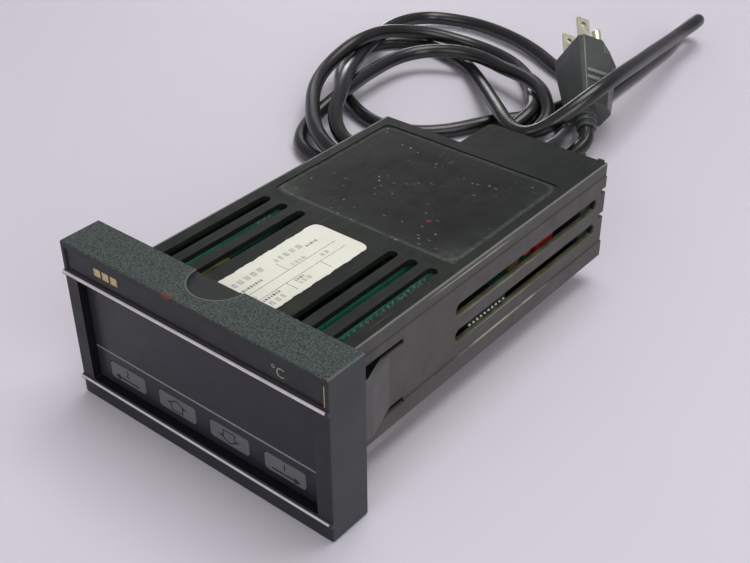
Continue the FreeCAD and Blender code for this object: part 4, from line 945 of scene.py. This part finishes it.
def make_terminal_screws():
    """Slotted screw heads on the clamp plates."""
    clear_selection()
    bpy.ops.mesh.primitive_cylinder_add(vertices=32, radius=SCREW_RADIUS * MM, depth=SCREW_HEIGHT * MM,
                                        location=(0, 0, 0), rotation=(math.pi / 2, 0, 0))
    head = keep_place("screw_head")
    open_up(head)
    for cut in (-SLOT_HALF, SLOT_HALF):
        bpy.ops.mesh.select_all(action="SELECT")
        bpy.ops.mesh.bisect(plane_co=(cut * MM, 0, 0), plane_no=(1, 0, 0))
    pick_faces(head, lambda middle, normal: normal.y > 0.9 and abs(middle.x) < SLOT_HALF * MM)
    bpy.ops.mesh.extrude_region_move(TRANSFORM_OT_translate={"value": (0, -SLOT_DEPTH * MM, 0)})
    close_up(head)
    soften(head, 0.15)
    screws = join("slotted_terminal_screws", [copy_to(head, "head", spot) for spot in screw_middles()])
    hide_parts("terminal_screws")
    dress(screws, looks["steel"])
    bpy.data.objects.remove(head)


# Cord and plug

CORD_DIAMETER = 7.0
# Where the cord's middle lies when it is on the floor
CORD_FLOOR = 3.6
# Measured along the line below, in metres
EXIT = (1.2, 193.0, 30.0)
# From the strain relief along the floor to the fold, back over the plug, then across the coil's middle
LEAD = (
    EXIT, (1.2, 199.0, 30.0), (0.6, 207.0, 28.8), (-3.0, 217.8, 25.6), (-9.5, 232.5, 20.0),
    (-18.0, 245.6, 13.0), (-27.0, 256.5, 7.0), (-31.5, 267.0, 4.0), (-31.5, 281.0, CORD_FLOOR),
    (-31.6, 297.0, CORD_FLOOR), (-33.4, 317.0, CORD_FLOOR), (-34.4, 339.0, CORD_FLOOR),
    (-36.0, 362.0, CORD_FLOOR), (-37.4, 382.0, CORD_FLOOR), (-40.0, 397.0, 3.8), (-40.4, 404.6, 4.9),
    (-37.4, 407.8, 8.0), (-33.6, 406.6, 11.8), (-30.4, 402.0, 14.6), (-29.2, 395.0, 15.3),
    (-28.8, 385.0, 15.4), (-27.6, 371.0, 16.5), (-24.3, 354.6, 19.2), (-20.1, 330.3, 23.4),
    (-15.9, 308.1, 26.8), (-12.9, 288.4, 29.8), (-11.0, 271.9, 31.4), (-11.2, 259.8, 30.6),
    (-13.2, 251.7, 28.0), (-15.8, 245.4, 24.8), (-18.8, 240.6, 21.6), (-21.6, 236.3, 18.8),
    (-25.0, 232.9, 16.4), (-29.1, 230.5, 14.6), (-35.4, 231.9, 13.4), (-42.3, 236.3, 12.6),
    (-49.7, 242.7, 11.8), (-56.5, 249.4, 10.8), (-69.0, 261.3, 8.8), (-81.2, 272.7, 7.0),
    (-92.2, 282.8, 5.4), (-103.4, 291.6, 4.6), (-113.5, 297.4, 4.2), (-124.0, 300.6, 4.0),
    (-136.0, 303.4, 3.8),
)
COIL_MIDDLE = (-90.5, 259.0)
COIL_STEP = 15
# Where the loose turns bend, counter-clockwise: bearing from the coil's middle, reach and height
COIL_BENDS = (
    (150, 79, CORD_FLOOR), (165, 78, CORD_FLOOR), (195, 62, CORD_FLOOR), (225, 51, CORD_FLOOR),
    (270, 45, CORD_FLOOR), (315, 33, CORD_FLOOR), (345, 32, CORD_FLOOR), (375, 46, CORD_FLOOR),
    (405, 64, CORD_FLOOR), (435, 67, CORD_FLOOR), (465, 84, 5), (493, 105, 5), (510, 86, 10.2),
    (525, 68, 11.3), (555, 53, 13.5), (585, 53, 18.2), (600, 58, 18), (630, 82, 11), (660, 71, 11.5),
    (690, 60, 4.5), (720, 56, 10.5), (735, 47, 14), (765, 36, 13), (795, 32, 11.5), (840, 38, 12),
    (870, 43, 11), (915, 43, 10.8), (945, 54, 10.2), (960, 77, CORD_FLOOR), (983, 93, CORD_FLOOR),
    (1020, 67, CORD_FLOOR), (1050, 48, CORD_FLOOR), (1080, 47, 11), (1095, 41, 10), (1110, 39, 6.2),
    (1140, 43, CORD_FLOOR), (1170, 54, CORD_FLOOR), (1200, 66, 5.5), (1215, 67, 10), (1245, 63, 17.8),
    (1260, 60, 19.2), (1290, 66, 12.7), (1320, 73, 12), (1350, 91, 10.5), (1365, 93, 8),
)
TAIL = (
    (-40.0, 188.0, 4.2), (-30.0, 193.5, 4.0), (-21.0, 202.0, 3.9), (-15.5, 213.0, 3.8),
    (-13.0, 225.0, 3.8), (-12.0, 236.0, 4.0), (-11.6, 246.5, 5.2),
)
PLUG_SPOT = (-29.5, 278.7, 21.9)
PLUG_YAW = 37.4
PLUG_PITCH = 25.0
PLUG_ROLL = -65.0
PLUG_TURN = (Matrix.Rotation(math.radians(PLUG_YAW), 4, "Z")
             @ Matrix.Rotation(math.radians(PLUG_PITCH), 4, "X")
             @ Matrix.Rotation(math.radians(PLUG_ROLL), 4, "Y"))
PLUG_NECK = 27.5
NECK_RUN = 6.0
# Each pair of grip ribs: how far behind the plug's middle, and how far to either side
RIBS = ((-1.5, 11.0), (-5.4, 10.55))
RIB_HALF_WIDTH = 1.0
RIB_HALF_HEIGHT = 0.7
RIB_FOOT = -6.6
RIB_HEAD = 4.6


def bend_slope(index, column):
    """How fast the reach or the height changes with the bearing at one bend."""
    before = COIL_BENDS[max(index - 1, 0)]
    after = COIL_BENDS[min(index + 1, len(COIL_BENDS) - 1)]
    return (after[column] - before[column]) / (after[0] - before[0])


def between_bends(index, bearing, column):
    """The reach or the height on the smooth line from one bend to the next."""
    start, end = COIL_BENDS[index], COIL_BENDS[index + 1]
    run = end[0] - start[0]
    t = (bearing - start[0]) / run
    return ((2 * t ** 3 - 3 * t ** 2 + 1) * start[column]
            + (t ** 3 - 2 * t ** 2 + t) * run * bend_slope(index, column)
            + (3 * t ** 2 - 2 * t ** 3) * end[column]
            + (t ** 3 - t ** 2) * run * bend_slope(index + 1, column))


def coil_points():
    """The loose turns, a point at each step of the bearing."""
    points = []
    index = 0
    for bearing in range(COIL_BENDS[0][0], COIL_BENDS[-1][0] + 1, COIL_STEP):
        while index < len(COIL_BENDS) - 2 and bearing > COIL_BENDS[index + 1][0]:
            index += 1
        reach = between_bends(index, bearing, 1)
        height = max(CORD_FLOOR, between_bends(index, bearing, 2))
        angle = math.radians(bearing)
        points.append((COIL_MIDDLE[0] + reach * math.cos(angle),
                       COIL_MIDDLE[1] + reach * math.sin(angle), height))
    return points


def neck_points():
    """The straight end of the cord, in line with the plug."""
    axis = PLUG_TURN @ Vector((0, 1, 0))
    return [tuple(Vector(PLUG_SPOT) - axis * reach) for reach in (PLUG_NECK + NECK_RUN, PLUG_NECK)]


def make_cord(plug, ribs):
    """The cord as one smooth line from the strain relief to the plug."""
    route = [at(*spot) for spot in list(LEAD) + coil_points() + list(TAIL) + neck_points()]
    line = bpy.data.curves.new("mains_cord", "CURVE")
    line.dimensions = "3D"
    spline = line.splines.new("NURBS")
    spline.points.add(len(route) - 1)
    for point, spot in zip(spline.points, route):
        point.co = (*spot, 1)
    spline.order_u = 3
    spline.use_endpoint_u = True
    spline.resolution_u = 6
    line.bevel_depth = CORD_DIAMETER / 2 * MM
    line.bevel_resolution = 5
    line.materials.append(looks["cord"].material)
    cord = bpy.data.objects.new("mains_cord", line)
    bpy.context.scene.collection.objects.link(cord)
    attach(cord, "controller")
    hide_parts("cord_lead", "cord_coil", "cord_tail")


def make_plug():
    """The moulded plug: a copy of the CAD solid with every edge rounded."""
    body = nodes["plug_body"].copy()
    body.data = nodes["plug_body"].data.copy()
    for key in list(body.keys()):
        del body[key]
    body.name = "moulded_plug"
    body.data.name = "moulded_plug"
    bpy.context.scene.collection.objects.link(body)
    open_up(body)
    bpy.ops.mesh.select_all(action="SELECT")
    bpy.ops.mesh.remove_doubles(threshold=0.01 * MM)
    bpy.ops.mesh.dissolve_limited(angle_limit=math.radians(1))
    close_up(body)
    soften(body, 1.1, 4)
    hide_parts("plug_body")
    return dress(body, plug_rubber)


def make_plug_ribs():
    """Two grip ribs across each broad side of the plug, in a pale rubber that paints their highlights."""
    place = Matrix.Translation(at(*PLUG_SPOT)) @ PLUG_TURN
    ribs = []
    for behind, half in RIBS:
        for side in (-half, half):
            low = Vector((side - RIB_HALF_HEIGHT, behind - RIB_HALF_WIDTH, RIB_FOOT)) * MM
            high = Vector((side + RIB_HALF_HEIGHT, behind + RIB_HALF_WIDTH, RIB_HEAD)) * MM
            rib = soften(block("rib", low, high), 0.4, 3)
            rib.matrix_world = place
            ribs.append(rib)
    return dress(join("plug_grip_ribs", ribs), rib_highlight_rubber)


make_camera()
make_floor()
make_light()
dress_nodes()
make_cord(make_plug(), make_plug_ribs())
make_key_caps()
make_key_legends()
make_front_marks()
make_label()
make_label_print()
make_solder()
make_terminal_screws()
